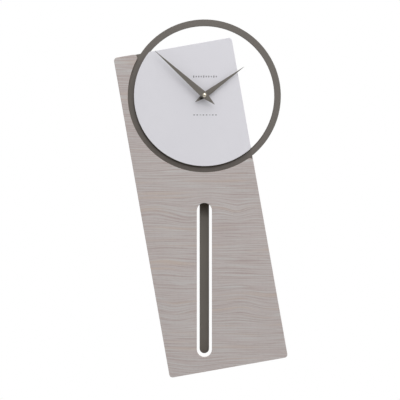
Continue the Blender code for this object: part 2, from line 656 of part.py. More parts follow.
def build_motion_work():
    low, high = MOTION_LAYER, MOTION_LAYER + WHEEL_FACE
    end = MINUTE_HAND_BACK + HAND_THICKNESS + CAP_HEIGHT / 2
    foot = 2 * ARBOR_RADIUS
    profile = [(0, end), (ARBOR_TOP_RADIUS, end), (ARBOR_TOP_RADIUS, FIRST_LAYER), (foot, FIRST_LAYER),
               (foot, SHAFT_BACK), (0, SHAFT_BACK)]
    cannon = turned("cannon_pinion", profile, CENTRE, finish="brass")
    join(cannon, gear("cannon_teeth", CANNON_TEETH, CANNON_MODULE, low, high, CENTRE, 0))
    phase = meshing_phase(CANNON_TEETH, 0, MOTION_TEETH, MOTION_BEARING)
    pinion = (MOTION_PINION_TEETH, HOUR_MODULE, high - GAP, HOUR_LAYER + WHEEL_FACE + GAP, 0)
    wheel_on_arbor("motion_wheel", MOTION, (MOTION_TEETH, CANNON_MODULE, low, high, phase), pinion,
                   "white_plastic")
    knob_phase = meshing_phase(MOTION_TEETH, phase, KNOB_TEETH, KNOB_BEARING)
    build_setting_knob(low, high, CANNON_MODULE, knob_phase)
    phase = meshing_phase(MOTION_PINION_TEETH, 0, HOUR_TEETH, MOTION_BEARING + pi)
    low, high = HOUR_LAYER, HOUR_LAYER + WHEEL_FACE
    hour = gear("hour_wheel", HOUR_TEETH, HOUR_MODULE, low, high, CENTRE, phase, "brass")
    pipe_end = HOUR_HAND_BACK + HAND_THICKNESS + GAP
    join(hour, cylinder("hour_pipe", PIPE_RADIUS, low + GAP, pipe_end, steps=20))
    drill(hour, PIPE_RADIUS - PIPE_WALL, low - GAP, pipe_end + GAP, steps=20)


def build_setting_knob(low, high, module, phase):
    """A fluted knob behind the cover, its shaft and the pinion that turns the motion wheel."""
    front = COVER_BACK - 2 * GAP
    flutes = gear_outline(KNOB_FLUTES, 2 * KNOB_RADIUS / KNOB_FLUTES, 0)
    knob = plate("setting_knob", [flutes], 4 * GAP, front, KNOB, finish="white_plastic")
    join(knob, cylinder("knob_shaft", KNOB_SHAFT_RADIUS, front - GAP, low + GAP, KNOB, steps=16))
    join(knob, gear("knob_pinion", KNOB_TEETH, module, low, high, KNOB, phase))


# ---------------------------------------------------------------- battery

def build_battery():
    half = CELL_LENGTH / 2
    profile = [(0, half + NUB_LENGTH), (NUB_RADIUS, half + NUB_LENGTH), (NUB_RADIUS, half),
               (CELL_RADIUS - GAP, half), (CELL_RADIUS, half - GAP), (CELL_RADIUS, GAP - half),
               (CELL_RADIUS - GAP, -half), (0, -half)]
    cell = turned("battery_cell", profile, finish="cell_wrap", steps=20)
    cell.location = (0, CELL_HEIGHT, CELL_DEPTH)
    cell.rotation_euler = (0, pi / 2, 0)
    inner = HOUSING_HALF_WIDTH - WALL - GAP
    touch = half + NUB_LENGTH + 2 * GAP
    low, high = CELL_HEIGHT - CONTACT_HALF_HEIGHT, CELL_HEIGHT + CONTACT_HALF_HEIGHT
    back, front = CELL_DEPTH - CONTACT_HALF_WIDTH, CELL_DEPTH + CONTACT_HALF_WIDTH
    plus = ribbon([(inner, low), (touch, low), (touch, high)], 2 * GAP)
    plate("contact_positive", [plus], back, front, finish="steel")
    touch = half + 2 * GAP
    minus = ribbon([(-inner, high), (-touch - GAP, CELL_HEIGHT + CONTACT_BULGE), (-inner, low)], 2 * GAP)
    plate("contact_negative", [minus], back, front, finish="steel")


# ---------------------------------------------------------------- bushing, hands and cap

def tube(name, outer, inner, low, high, finish, steps=24):
    return plate(name, [circle(outer, steps), circle(inner, steps)], low, high, finish=finish)


def build_bushing():
    bore = PIPE_RADIUS + GAP
    low = PLATE_FRONT + GAP
    nut_low = low + WASHER_THICKNESS + GAP
    end = nut_low + NUT_HEIGHT + GAP
    flange = BUSHING_RADIUS - WALL / 2
    tube("rubber_washer", WASHER_RADIUS, BUSHING_RADIUS + GAP, CASE_FRONT + GAP, PLATE_BACK - GAP, "rubber")
    tube("brass_washer", WASHER_RADIUS, BUSHING_RADIUS + GAP, low, low + WASHER_THICKNESS, "brass")
    corner = NUT_ACROSS_FLATS / 2 / cos(pi / 6)
    plate("hex_nut", [circle(corner, 6), circle(BUSHING_RADIUS + GAP, 24)], nut_low, nut_low + NUT_HEIGHT,
          finish="brass")
    bushing = tube("threaded_bushing", BUSHING_RADIUS, bore, CASE_FRONT + GAP, end, "brass")
    join(bushing, cylinder("bushing_root", flange, CASE_FRONT - WALL, CASE_FRONT + 2 * GAP, steps=24))
    drill(bushing, bore, CASE_FRONT - 2 * WALL, end + GAP, steps=24)


def kite(length, tail, width):
    tip = 3 * GAP / 4
    return [(-tip, length), (-width / 2, 0), (-tip, -tail), (tip, -tail), (width / 2, 0), (tip, length)]


def build_hand(name, length, tail, width, back, hub_radius, hub_depth, bore, angle):
    """A kite-shaped hand with a short hub behind it, its origin on the dial's axis."""
    hand = plate(name, [kite(length, tail, width)], back, back + HAND_THICKNESS, finish="hands", turn=-angle)
    join(hand, cylinder(name + "_hub", hub_radius, back - hub_depth, back + GAP, steps=24))
    return drill(hand, bore, back - hub_depth - GAP, back + HAND_THICKNESS + GAP, steps=24)


def build_hands():
    build_hand("hour_hand", HOUR_LENGTH, HOUR_TAIL, HOUR_WIDTH, HOUR_HAND_BACK, HOUR_WIDTH / 2 - 5 * GAP,
               HOUR_RISE / 2, PIPE_RADIUS + GAP, HOUR_ANGLE)
    build_hand("minute_hand", MINUTE_LENGTH, MINUTE_TAIL, MINUTE_WIDTH, MINUTE_HAND_BACK, CAP_RADIUS,
               HOUR_RISE / 3, ARBOR_TOP_RADIUS + GAP, MINUTE_ANGLE)


def build_cap_nut():
    back = MINUTE_HAND_BACK + HAND_THICKNESS + GAP
    dome = CAP_HEIGHT - 2 * GAP
    profile = []
    for step in range(6):
        angle = pi / 2 * (1 - step / 5)
        profile.append((CAP_RADIUS * cos(angle), back + 2 * GAP + dome * sin(angle)))
    bore = ARBOR_TOP_RADIUS + GAP
    roof = back + CAP_HEIGHT / 2 + GAP
    profile[0] = (0, profile[0][1])
    profile += [(CAP_RADIUS, back), (bore, back), (bore, roof), (0, roof)]
    turned("cap_nut", profile, finish="brass", steps=20)


# ---------------------------------------------------------------- pendulum

def build_leader():
    """The driven arm: a hub on the pivot, a seat for the magnet and a pin that the bar hangs on."""
    front = LEADER_BACK + LEADER_THICKNESS
    half = LEADER_WIDTH / 2
    end = LEADER_DROP - BAR_PIN_DROP - LEADER_TIP
    seat = LEADER_DROP - MAGNET_DROP
    leader = plate("pendulum_leader", [rounded(box_outline(-half, end, half, 0), half / 2, 3)],
                   LEADER_BACK, front, LEADER_PIVOT, finish="white_plastic")
    join(leader, cylinder("leader_hub", LEADER_HUB_RADIUS, LEADER_BACK - WALL, front + WALL, LEADER_PIVOT))
    join(leader, cylinder("leader_seat", LEADER_SEAT_RADIUS, LEADER_BACK, front,
                          (LEADER_PIVOT[0], LEADER_PIVOT[1] + seat), steps=16))
    join(leader, cylinder("leader_hook", PIN_RADIUS, front - GAP, BAR_BACK + BAR_THICKNESS + 4 * GAP,
                          (0, -BAR_PIN_DROP), steps=12))
    drill(leader, BEARING_RADIUS + GAP, LEADER_BACK - 2 * WALL, front + 2 * WALL, LEADER_PIVOT)
    cylinder("leader_magnet", LEADER_MAGNET_RADIUS, front + GAP, front + 3 * WALL, (0, -MAGNET_DROP),
             finish="magnet", steps=20)
    cylinder("leader_pivot_pin", BEARING_RADIUS, SHAFT_BACK, SHAFT_FRONT, LEADER_PIVOT,
             finish="steel", steps=12)
    coil_back = front + 3 * WALL + 2 * GAP
    loops = [circle(DRIVE_COIL_RADIUS, 24), circle(DRIVE_COIL_RADIUS / 2, 24)]
    plate("pendulum_coil", loops, coil_back, CASE_FRONT - WALL - GAP, (0, -MAGNET_DROP), finish="copper")


def build_pendulum_bar():
    """The bar hangs from the leader's pin; its origin is on the pivot that they both swing about."""
    half = BAR_WIDTH / 2
    top = LEADER_DROP - BAR_PIN_DROP + half
    bottom = LEADER_DROP - BAR_END
    hole = circle(PIN_RADIUS + GAP, 16, (0, LEADER_DROP - BAR_PIN_DROP))
    plate("pendulum_bar", [stadium(half, bottom, top), hole], BAR_BACK, BAR_BACK + BAR_THICKNESS,
          LEADER_PIVOT, finish="lacquer")


# ---------------------------------------------------------------- wall fittings and screws

def build_hanger():
    """A folded steel strap: two feet on the plate, a keyhole in the flat part on the wall."""
    near = HANGER_STEEL / 2
    far = PLATE_BACK - GAP - near
    low, high = HANGER_LOW + HANGER_FOOT, HANGER_HIGH - HANGER_FOOT
    path = [(HANGER_LOW, far), (low, far), (low + HANGER_BEND, near), (high - HANGER_BEND, near),
            (high, far), (HANGER_HIGH, far)]
    mesh = outline_mesh("hanger_bracket", [ribbon(path, HANGER_STEEL)], HANGER_WIDTH)
    hanger = add_solid("hanger_bracket", mesh, finish="steel")
    hanger.rotation_euler = (pi / 2, 0, pi / 2)
    entry = low + 5 * HANGER_BEND
    neck = entry + 2 * KEYHOLE_RADIUS
    drill(hanger, KEYHOLE_RADIUS, -GAP, 2 * HANGER_STEEL, (0, entry), steps=20)
    slot = [(x, y + neck) for x, y in stadium(KEYHOLE_SLOT, entry - neck, KEYHOLE_SLOT, 8)]
    cut(hanger, plate("keyhole_slot", [slot], -GAP, 2 * HANGER_STEEL))
    for place in hanger_screw_places().values():
        drill(hanger, SCREW_RADIUS + GAP, far - HANGER_STEEL, PLATE_BACK, place, steps=HOLE_STEPS)


def screw(name, place, head_front, tip, parent=None):
    """A pan-head screw driven towards the viewer: the head's flat side faces the work."""
    back = head_front - SCREW_HEAD_HEIGHT
    crown = SCREW_HEAD_RADIUS - 2 * GAP
    profile = [(0, tip), (SCREW_RADIUS, tip - SCREW_RADIUS), (SCREW_RADIUS, head_front),
               (SCREW_HEAD_RADIUS, head_front), (crown, back), (0, back)]
    return turned(name, profile, place, parent, "steel", 10)


def build_screws():
    head = PLATE_BACK - GAP
    for number, place in enumerate(wood_screw_places(), 1):
        screw(f"panel_screw_{number}", place, head, WOOD_FRONT - WALL - GAP, LEANING)
    for number, place in enumerate(dial_screw_places(), 1):
        screw(f"dial_screw_{number}", place, head, DIAL_FRONT - WALL - GAP, LEANING)
    tip = PLATE_FRONT - WALL / 2 - GAP
    for side, place in spacer_places().items():
        screw(f"spacer_screw_{side}", place, SPACER_BACK + 2 * SCREW_HEAD_HEIGHT - GAP, tip, LEANING)
    for side, place in hanger_screw_places().items():
        screw(f"hanger_screw_{side}", place, head - HANGER_STEEL - GAP, tip)


def build_spacers():
    for side, place in spacer_places().items():
        spacer = cylinder(f"wall_spacer_{side}", SPACER_RADIUS, SPACER_BACK, PLATE_BACK - GAP, place, LEANING,
                          "black_plastic", 24)
        seat = SPACER_BACK + 2 * SCREW_HEAD_HEIGHT
        drill(spacer, SCREW_RADIUS + GAP, SPACER_BACK - GAP, PLATE_BACK, place, LEANING, HOLE_STEPS)
        drill(spacer, SCREW_HEAD_RADIUS + GAP, SPACER_BACK - GAP, seat, place, LEANING, 16)
        cylinder(f"felt_pad_{side}", SPACER_RADIUS - GAP, 0, FELT_THICKNESS, place, LEANING, "felt", 24)


# ---------------------------------------------------------------- places worked out once, then the build

CENTRE = (0.0, 0.0)
MOTION = beside(CENTRE, MOTION_SPACING, MOTION_BEARING)
KNOB = beside(MOTION, KNOB_SPACING, KNOB_BEARING)
THIRD = beside(CENTRE, THIRD_SPACING, THIRD_BEARING)
SECOND = beside(THIRD, SECOND_SPACING, SECOND_BEARING)
MIDDLE = beside(SECOND, MIDDLE_SPACING, MIDDLE_BEARING)
ROTOR = beside(MIDDLE, ROTOR_SPACING, ROTOR_BEARING)
LEADER_PIVOT = (0.0, -LEADER_DROP)

clear_scene()
PARTS = new_collection("pendulum_wall_clock")
CUTTERS = new_collection("cutters")
FINISHES = {
    "lacquer": make_material("brown grey lacquer", (0.165, 0.145, 0.13), 0.45),
    "wood": make_material("grey stained veneer", (0.42, 0.38, 0.365), 0.6),
    "dial": make_material("pale matte lacquer", (0.66, 0.65, 0.68), 0.7),
    "hands": make_material("dark hand lacquer", (0.14, 0.13, 0.12), 0.5),
    "brass": make_material("brass", (0.65, 0.47, 0.22), 0.28, 1.0),
    "steel": make_material("zinc steel", (0.6, 0.6, 0.61), 0.35, 1.0),
    "black_plastic": make_material("black plastic", (0.03, 0.03, 0.03), 0.5),
    "white_plastic": make_material("white plastic", (0.8, 0.79, 0.75), 0.45),
    "copper": make_material("copper winding", (0.6, 0.25, 0.12), 0.4, 1.0),
    "board": make_material("circuit board", (0.03, 0.2, 0.08), 0.5),
    "magnet": make_material("sintered magnet", (0.1, 0.1, 0.11), 0.4, 0.6),
    "cell_wrap": make_material("battery wrap", (0.05, 0.16, 0.3), 0.35),
    "rubber": make_material("black rubber", (0.02, 0.02, 0.02), 0.8),
    "felt": make_material("grey felt", (0.2, 0.2, 0.2), 0.95),
}

BENCH = new_empty("bench_frame")
BENCH.location = (0, 0, -HANGER_RISE)
BENCH.rotation_euler = (pi / 2, 0, 0)
LEANING = new_empty("leaning_frame", BENCH)
LEANING.rotation_euler = (0, 0, LEAN)

build_ring_plate()
build_wood_panel()
build_dial_plate()
build_movement_case()
build_movement_cover()
build_electronics()
build_motor()
build_fast_train()
build_motion_work()
build_battery()
build_bushing()
build_hands()
build_cap_nut()
build_leader()
build_pendulum_bar()
build_hanger()
build_screws()
build_spacers()
bpy.context.view_layer.update()
print("parts:", len([thing for thing in PARTS.objects if thing.type == "MESH"]))
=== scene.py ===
# Pendulum wall clock: the looks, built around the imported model. Metres, x right, z up, y into the wall.
import json
from math import cos, pi, radians, sin

import bmesh
import bpy
from mathutils import Matrix, Vector


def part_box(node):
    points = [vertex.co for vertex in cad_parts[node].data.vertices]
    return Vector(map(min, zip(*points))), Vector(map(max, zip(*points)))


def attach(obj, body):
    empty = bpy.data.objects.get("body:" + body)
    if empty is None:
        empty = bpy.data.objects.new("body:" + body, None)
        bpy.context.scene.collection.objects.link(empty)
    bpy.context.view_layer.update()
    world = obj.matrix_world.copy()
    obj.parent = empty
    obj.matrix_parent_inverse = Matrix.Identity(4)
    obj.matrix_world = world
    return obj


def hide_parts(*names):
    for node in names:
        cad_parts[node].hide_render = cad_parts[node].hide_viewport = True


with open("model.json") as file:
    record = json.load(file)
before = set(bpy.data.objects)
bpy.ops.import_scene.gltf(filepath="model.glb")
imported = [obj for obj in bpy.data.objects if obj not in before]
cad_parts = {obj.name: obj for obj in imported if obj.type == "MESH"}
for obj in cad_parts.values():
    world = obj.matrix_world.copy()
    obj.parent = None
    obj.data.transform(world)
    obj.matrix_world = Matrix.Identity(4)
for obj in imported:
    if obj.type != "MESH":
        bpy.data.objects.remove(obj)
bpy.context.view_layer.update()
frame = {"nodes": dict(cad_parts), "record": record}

cadNodes = frame["nodes"]
bodyOf = {node: body for body, members in frame["record"]["behaviour"]["bodies"].items() for node in members}
mergeDistance = 0.000004
flatAngle = 1.0  # degrees; faces closer than this become one
sharpAngle = 38.0
roundingAngle = 30.0  # edges sharper than this are rounded


# small helpers for node trees
def addNode(tree, kind, inputs=None, **settings):
    node = tree.nodes.new(kind)
    for name, value in settings.items():
        setattr(node, name, value)
    for socket, value in (inputs or {}).items():
        if isinstance(value, bpy.types.NodeSocket):
            tree.links.new(value, node.inputs[socket])
        else:
            node.inputs[socket].default_value = value
    return node


def doMath(tree, operation, first, second=0.0, third=0.0, clamp=False):
    inputs = {0: first, 1: second, 2: third}
    return addNode(tree, "ShaderNodeMath", inputs, operation=operation, use_clamp=clamp).outputs[0]


def doVector(tree, operation, first, second=(0, 0, 0), output=0):
    node = addNode(tree, "ShaderNodeVectorMath", {0: first, 1: second}, operation=operation)
    return node.outputs[output]


def remap(tree, value, low, high, newLow=0.0, newHigh=1.0):
    inputs = {"Value": value, "From Min": low, "From Max": high, "To Min": newLow, "To Max": newHigh}
    return addNode(tree, "ShaderNodeMapRange", inputs).outputs["Result"]


def mixColour(tree, factor, first, second, blend="MIX"):
    first, second = [(*colour, 1) if isinstance(colour, tuple) else colour for colour in (first, second)]
    inputs = {0: factor, 6: first, 7: second}  # the colour sockets of a mix node
    return addNode(tree, "ShaderNodeMix", inputs, data_type="RGBA", blend_type=blend).outputs[2]


def stretchedNoise(tree, vector, stretch, detail=2.0, roughness=0.5, distortion=0.0):
    mapped = addNode(tree, "ShaderNodeMapping", {"Vector": vector, "Scale": stretch}).outputs["Vector"]
    inputs = {"Vector": mapped, "Scale": 1.0, "Detail": detail, "Roughness": roughness}
    return addNode(tree, "ShaderNodeTexNoise", {**inputs, "Distortion": distortion}).outputs["Fac"]


def evenNoise(tree, place, scale, detail):
    inputs = {"Vector": place, "Scale": scale, "Detail": detail}
    return addNode(tree, "ShaderNodeTexNoise", inputs).outputs["Fac"]


def objectPlace(tree):
    return addNode(tree, "ShaderNodeTexCoord").outputs["Object"]


def splitParts(tree, vector):
    return addNode(tree, "ShaderNodeSeparateXYZ", {"Vector": vector}).outputs


def joinParts(tree, **parts):
    return addNode(tree, "ShaderNodeCombineXYZ", parts).outputs["Vector"]


def surfaceNormal(tree):
    return addNode(tree, "ShaderNodeNewGeometry").outputs["Normal"]


def linkShader(tree, shader, **sockets):
    for label, value in sockets.items():
        tree.links.new(value, shader.inputs[socketNames[label]])


socketNames = {"colour": "Base Color", "rough": "Roughness", "metal": "Metallic"}


# shader groups, each built once
def newGroup(name, inputs, outputs):
    group = bpy.data.node_groups.new(name, "ShaderNodeTree")
    kinds = {"value": "NodeSocketFloat", "vector": "NodeSocketVector", "colour": "NodeSocketColor"}
    for label, kind, start in inputs:
        socket = group.interface.new_socket(name=label, in_out="INPUT", socket_type=kinds[kind])
        if start is not None:
            socket.default_value = start
    for label, kind in outputs:
        group.interface.new_socket(name=label, in_out="OUTPUT", socket_type=kinds[kind])
    return group, group.nodes.new("NodeGroupInput").outputs, group.nodes.new("NodeGroupOutput").inputs


def makeEdgeWear():
    inputs = [("Radius", "value", 0.0008), ("Strength", "value", 1.0), ("Patchiness", "value", 220.0)]
    group, given, result = newGroup("edgeWear", inputs, [("Mask", "value")])
    rounded = addNode(group, "ShaderNodeBevel", {"Radius": given["Radius"]}, samples=4).outputs["Normal"]
    facing = doVector(group, "DOT_PRODUCT", rounded, surfaceNormal(group), 1)
    edge = remap(group, facing, 0.995, 0.86)
    patches = evenNoise(group, objectPlace(group), given["Patchiness"], 3.0)
    broken = doMath(group, "MULTIPLY", edge, remap(group, patches, 0.42, 0.62))
    group.links.new(doMath(group, "MULTIPLY", broken, given["Strength"], clamp=True), result["Mask"])
    return group


def makeFineSurface():
    inputs = [("Scale", "value", 900.0), ("Low", "value", 0.4), ("High", "value", 0.5)]
    group, given, result = newGroup("fineSurface", inputs, [("Height", "value"), ("Roughness", "value")])
    place = objectPlace(group)
    fine = evenNoise(group, place, given["Scale"], 3.0)
    broad = evenNoise(group, place, doMath(group, "MULTIPLY", given["Scale"], 0.06), 4.0)
    both = doMath(group, "MULTIPLY_ADD", broad, 0.7, doMath(group, "MULTIPLY", fine, 0.3))
    rough = remap(group, both, 0.35, 0.65, given["Low"], given["High"])
    group.links.new(fine, result["Height"])
    group.links.new(rough, result["Roughness"])
    return group


def makeDust():
    inputs = [("Colour", "colour", (0.5, 0.5, 0.5, 1)), ("Amount", "value", 0.15)]
    group, given, result = newGroup("settledDust", inputs, [("Colour", "colour"), ("Mask", "value")])
    up = splitParts(group, surfaceNormal(group))["Z"]
    place = objectPlace(group)
    specks = evenNoise(group, place, 1400.0, 2.0)
    clouds = evenNoise(group, place, 60.0, 3.0)
    cover = doMath(group, "MULTIPLY", remap(group, up, 0.2, 0.95), remap(group, specks, 0.4, 0.65))
    mask = doMath(group, "MULTIPLY", cover, remap(group, clouds, 0.3, 0.7), clamp=True)
    mask = doMath(group, "MULTIPLY", mask, given["Amount"])
    group.links.new(mixColour(group, mask, given["Colour"], (0.62, 0.6, 0.57)), result["Colour"])
    group.links.new(mask, result["Mask"])
    return group


# a soft hill around a centre
def makeGrainLift():
    inputs = [("Place", "vector", None), ("Centre", "vector", None), ("Spread", "vector", None),
              ("Height", "value", 0.004)]
    group, given, result = newGroup("grainLift", inputs, [("Lift", "value")])
    away = doVector(group, "SUBTRACT", given["Place"], given["Centre"])
    length = doVector(group, "LENGTH", doVector(group, "DIVIDE", away, given["Spread"]), output=1)
    square = doMath(group, "MULTIPLY", length, length)
    fall = doMath(group, "EXPONENT", doMath(group, "MULTIPLY", square, -1.0))
    group.links.new(doMath(group, "MULTIPLY", fall, given["Height"]), result["Lift"])
    return group


# masks what faces the room inside a circle, softly over the fade; the lacquers use it to paint shadow patches
# into their colour
def makePaintedShadeDisc():
    inputs = [("Place", "vector", None), ("Centre", "vector", None)]
    inputs += [("Radius", "value", 0.1), ("Fade", "value", 0.003)]
    group, given, result = newGroup("discShade", inputs, [("Mask", "value")])
    away = doVector(group, "SUBTRACT", given["Place"], given["Centre"])
    length = doVector(group, "LENGTH", doVector(group, "MULTIPLY", away, (1, 0, 1)), output=1)
    inside = doMath(group, "SUBTRACT", given["Radius"], length)
    amount = doMath(group, "DIVIDE", inside, given["Fade"], clamp=True)
    front = remap(group, splitParts(group, surfaceNormal(group))["Y"], -0.5, -0.9)
    group.links.new(doMath(group, "MULTIPLY", amount, front), result["Mask"])
    return group


edgeWear = makeEdgeWear()
fineSurface = makeFineSurface()
settledDust = makeDust()
grainLift = makeGrainLift()
discShade = makePaintedShadeDisc()


def newMaterial(name):
    material = bpy.data.materials.new(name)
    material.use_nodes = True
    tree = material.node_tree
    return material, tree, tree.nodes["Principled BSDF"]


def placeGroup(tree, group, **inputs):
    return addNode(tree, "ShaderNodeGroup", inputs, node_tree=group).outputs


def addBump(tree, shader, height, distance, strength=1.0):
    inputs = {"Height": height, "Distance": distance, "Strength": strength}
    tree.links.new(addNode(tree, "ShaderNodeBump", inputs).outputs["Normal"], shader.inputs["Normal"])


# finishes
def makeLacquer(name, look):
    material, tree, shader = newMaterial(name)
    surface = placeGroup(tree, fineSurface, Scale=look["grain"], Low=look["rough"][0], High=look["rough"][1])
    place = objectPlace(tree)
    clouds = evenNoise(tree, place, 18.0, 4.0)
    base = mixColour(tree, remap(tree, clouds, 0.3, 0.7), look["colour"], look["shade"])
    # patches of painted shadow, darkened into the colour where a neighbouring part would shade the surface
    for centre, radius, fade, colour in look.get("shades", ()):
        shade = placeGroup(tree, discShade, Place=place, Centre=centre, Radius=radius, Fade=fade)
        base = mixColour(tree, shade["Mask"], base, colour)
    worn = placeGroup(tree, edgeWear, Radius=look["wearRadius"], Strength=look["wear"])["Mask"]
    base = mixColour(tree, worn, base, look["wornColour"])
    dusty = placeGroup(tree, settledDust, Colour=base, Amount=look["dust"])
    rough = doMath(tree, "MULTIPLY_ADD", dusty["Mask"], 0.4, surface["Roughness"])
    linkShader(tree, shader, colour=dusty["Colour"], rough=rough)
    shader.inputs["Specular IOR Level"].default_value = look["specular"]
    addBump(tree, shader, surface["Height"], look["bump"], 0.5)
    return material


def makeMetal(name, look):
    material, tree, shader = newMaterial(name)
    place = objectPlace(tree)
    brushed = stretchedNoise(tree, place, look["brush"], 3.0, 0.6)
    stains = evenNoise(tree, place, 160.0, 5.0)
    base = mixColour(tree, remap(tree, stains, 0.35, 0.7), look["colour"], look["shade"])
    worn = placeGroup(tree, edgeWear, Radius=0.0004, Strength=look["wear"])["Mask"]
    base = mixColour(tree, worn, base, look["wornColour"])
    dusty = placeGroup(tree, settledDust, Colour=base, Amount=look["dust"])
    rough = remap(tree, brushed, 0.3, 0.7, *look["rough"])
    rough = doMath(tree, "MULTIPLY_ADD", remap(tree, stains, 0.4, 0.75), 0.12, rough)
    linkShader(tree, shader, colour=dusty["Colour"], rough=rough)
    shader.inputs["Metallic"].default_value = 1.0
    addBump(tree, shader, brushed, look["bump"], 0.4)
    return material


veneer = {
    "pale": (0.494, 0.469, 0.456),
    "middle": (0.468, 0.413, 0.400),
    "line": (0.398, 0.334, 0.318),
    "beige": (0.49, 0.405, 0.35),
    "streak": (0.520, 0.512, 0.500),
    "edgePale": (0.50, 0.38, 0.27),
    "edgeDark": (0.33, 0.23, 0.155),
    "rough": (0.46, 0.6), "specular": 0.3, "dust": 0.25,
    "relief": 0.00008, "reliefStrength": 0.6,
    "waves": (7, 1, 11), "waveHeight": 0.012,  # noises: cells per metre along, through and across the grain
    "lines": (9, 1, 520), "hairs": (22, 1, 1000), "pores": (150, 1, 3400), "fibres": (45, 1, 5200),
    "warm": (6, 1, 130), "streaks": (11, 1, 240), "clouds": 9.0,
    "drift": (6, 1, 70), "ribs": 1650.0, "ribDrift": 24.0,  # ribs in radians per metre
    "pliesPerMetre": 830.0, "endGrain": (900, 200, 900),
    "lifts": (  # centre x and z, spread x and z, height: where the grain rises or dips
        (-0.050, -0.431, 0.026, 0.028, 0.0066),
        (0.064, -0.419, 0.030, 0.026, -0.0072),
        (-0.088, -0.258, 0.034, 0.018, -0.0058),
        (-0.026, -0.276, 0.026, 0.018, 0.0048),
        (0.010, -0.242, 0.026, 0.014, -0.0044),
        (0.054, -0.262, 0.018, 0.014, 0.0060),
        (0.090, -0.262, 0.022, 0.018, -0.0034),
        (-0.020, -0.522, 0.040, 0.020, 0.0040),
        (-0.062, -0.345, 0.030, 0.030, -0.0032),
    ),
}


# the place on the panel's face, bent so that level lines in it follow the grain
def grainFlow(tree, look, split):
    face = joinParts(tree, X=split["X"], Z=split["Z"])
    waves = stretchedNoise(tree, face, look["waves"], 1.0)
    lift = doMath(tree, "MULTIPLY_ADD", waves, look["waveHeight"], -look["waveHeight"] / 2)
    for x, z, spreadX, spreadZ, height in look["lifts"]:
        where = {"Centre": (x, 0, z), "Spread": (spreadX, 1, spreadZ)}
        hill = placeGroup(tree, grainLift, Place=face, Height=height, **where)
        lift = doMath(tree, "ADD", lift, hill["Lift"])
    height = doMath(tree, "ADD", split["Z"], lift)
    return height, joinParts(tree, X=split["X"], Z=height)


# light and dark lines: noise and even ribs, with fine hairs over them
def grainLines(tree, look, height, flow):
    lines = remap(tree, stretchedNoise(tree, flow, look["lines"], 2.0, 0.5), 0.34, 0.66)
    drift = doMath(tree, "MULTIPLY", stretchedNoise(tree, flow, look["drift"], 2.0), look["ribDrift"])
    phase = doMath(tree, "MULTIPLY_ADD", height, look["ribs"], drift)
    ribs = remap(tree, doMath(tree, "SINE", phase), -1.0, 1.0)
    lines = doMath(tree, "MULTIPLY_ADD", ribs, 0.4, doMath(tree, "MULTIPLY", lines, 0.6))
    hairs = stretchedNoise(tree, flow, look["hairs"], 2.0, 0.6)
    lines = doMath(tree, "MULTIPLY", lines, 0.7)
    return doMath(tree, "MULTIPLY_ADD", remap(tree, hairs, 0.3, 0.7), 0.3, lines), hairs


def grainColour(tree, look, lines, flow):
    ramp = addNode(tree, "ShaderNodeValToRGB", {"Fac": lines})
    first, last = ramp.color_ramp.elements
    first.position, last.position = 0.2, 0.74
    first.color, last.color = (*look["line"], 1), (*look["pale"], 1)
    ramp.color_ramp.elements.new(0.46).color = (*look["middle"], 1)
    warm = stretchedNoise(tree, flow, look["warm"], 2.0)
    base = mixColour(tree, remap(tree, warm, 0.58, 0.72, 0.0, 0.75), ramp.outputs["Color"], look["beige"])
    streaks = stretchedNoise(tree, flow, look["streaks"], 2.0, 0.5)
    return mixColour(tree, remap(tree, streaks, 0.58, 0.68, 0.0, 0.6), base, look["streak"])


# the plies, seen on the panel's cut sides
def addPlies(tree, look, place, split, base):
    plies = doMath(tree, "FRACT", doMath(tree, "MULTIPLY", split["Y"], look["pliesPerMetre"]))
    plies = doMath(tree, "GREATER_THAN", plies, 0.5)
    ends = stretchedNoise(tree, place, look["endGrain"], 3.0, 0.6)
    layers = mixColour(tree, plies, look["edgePale"], look["edgeDark"])
    layers = mixColour(tree, remap(tree, ends, 0.35, 0.7, 0.0, 0.4), layers, look["middle"])
    facing = splitParts(tree, surfaceNormal(tree))["Y"]
    side = remap(tree, doMath(tree, "ABSOLUTE", facing), 0.35, 0.15)
    return mixColour(tree, doMath(tree, "MULTIPLY", side, 0.75), base, layers)


def makeVeneer(look):
    material, tree, shader = newMaterial("greyVeneer")
    place = objectPlace(tree)
    split = splitParts(tree, place)
    height, flow = grainFlow(tree, look, split)
    lines, hairs = grainLines(tree, look, height, flow)
    base = grainColour(tree, look, lines, flow)
    pores = remap(tree, stretchedNoise(tree, flow, look["pores"], 2.0, 0.55), 0.34, 0.44)
    fibres = stretchedNoise(tree, flow, look["fibres"], 2.0, 0.6)
    clouds = evenNoise(tree, place, look["clouds"], 3.0)
    tone = remap(tree, pores, 0.0, 1.0, 0.84, 1.0)
    tone = doMath(tree, "MULTIPLY", tone, remap(tree, clouds, 0.3, 0.7, 0.985, 1.015))
    tone = doMath(tree, "MULTIPLY", tone, remap(tree, fibres, 0.3, 0.7, 0.955, 1.045))
    base = mixColour(tree, 1.0, base, joinParts(tree, X=tone, Y=tone, Z=tone), "MULTIPLY")
    base = addPlies(tree, look, place, split, base)
    dusty = placeGroup(tree, settledDust, Colour=base, Amount=look["dust"])
    linkShader(tree, shader, colour=dusty["Colour"], rough=remap(tree, lines, 0.3, 0.7, *look["rough"]))
    shader.inputs["Specular IOR Level"].default_value = look["specular"]
    relief = doMath(tree, "MULTIPLY_ADD", hairs, 0.3, doMath(tree, "MULTIPLY", fibres, 0.2))
    relief = doMath(tree, "MULTIPLY_ADD", pores, 0.5, relief)
    addBump(tree, shader, relief, look["relief"], look["reliefStrength"])
    return material


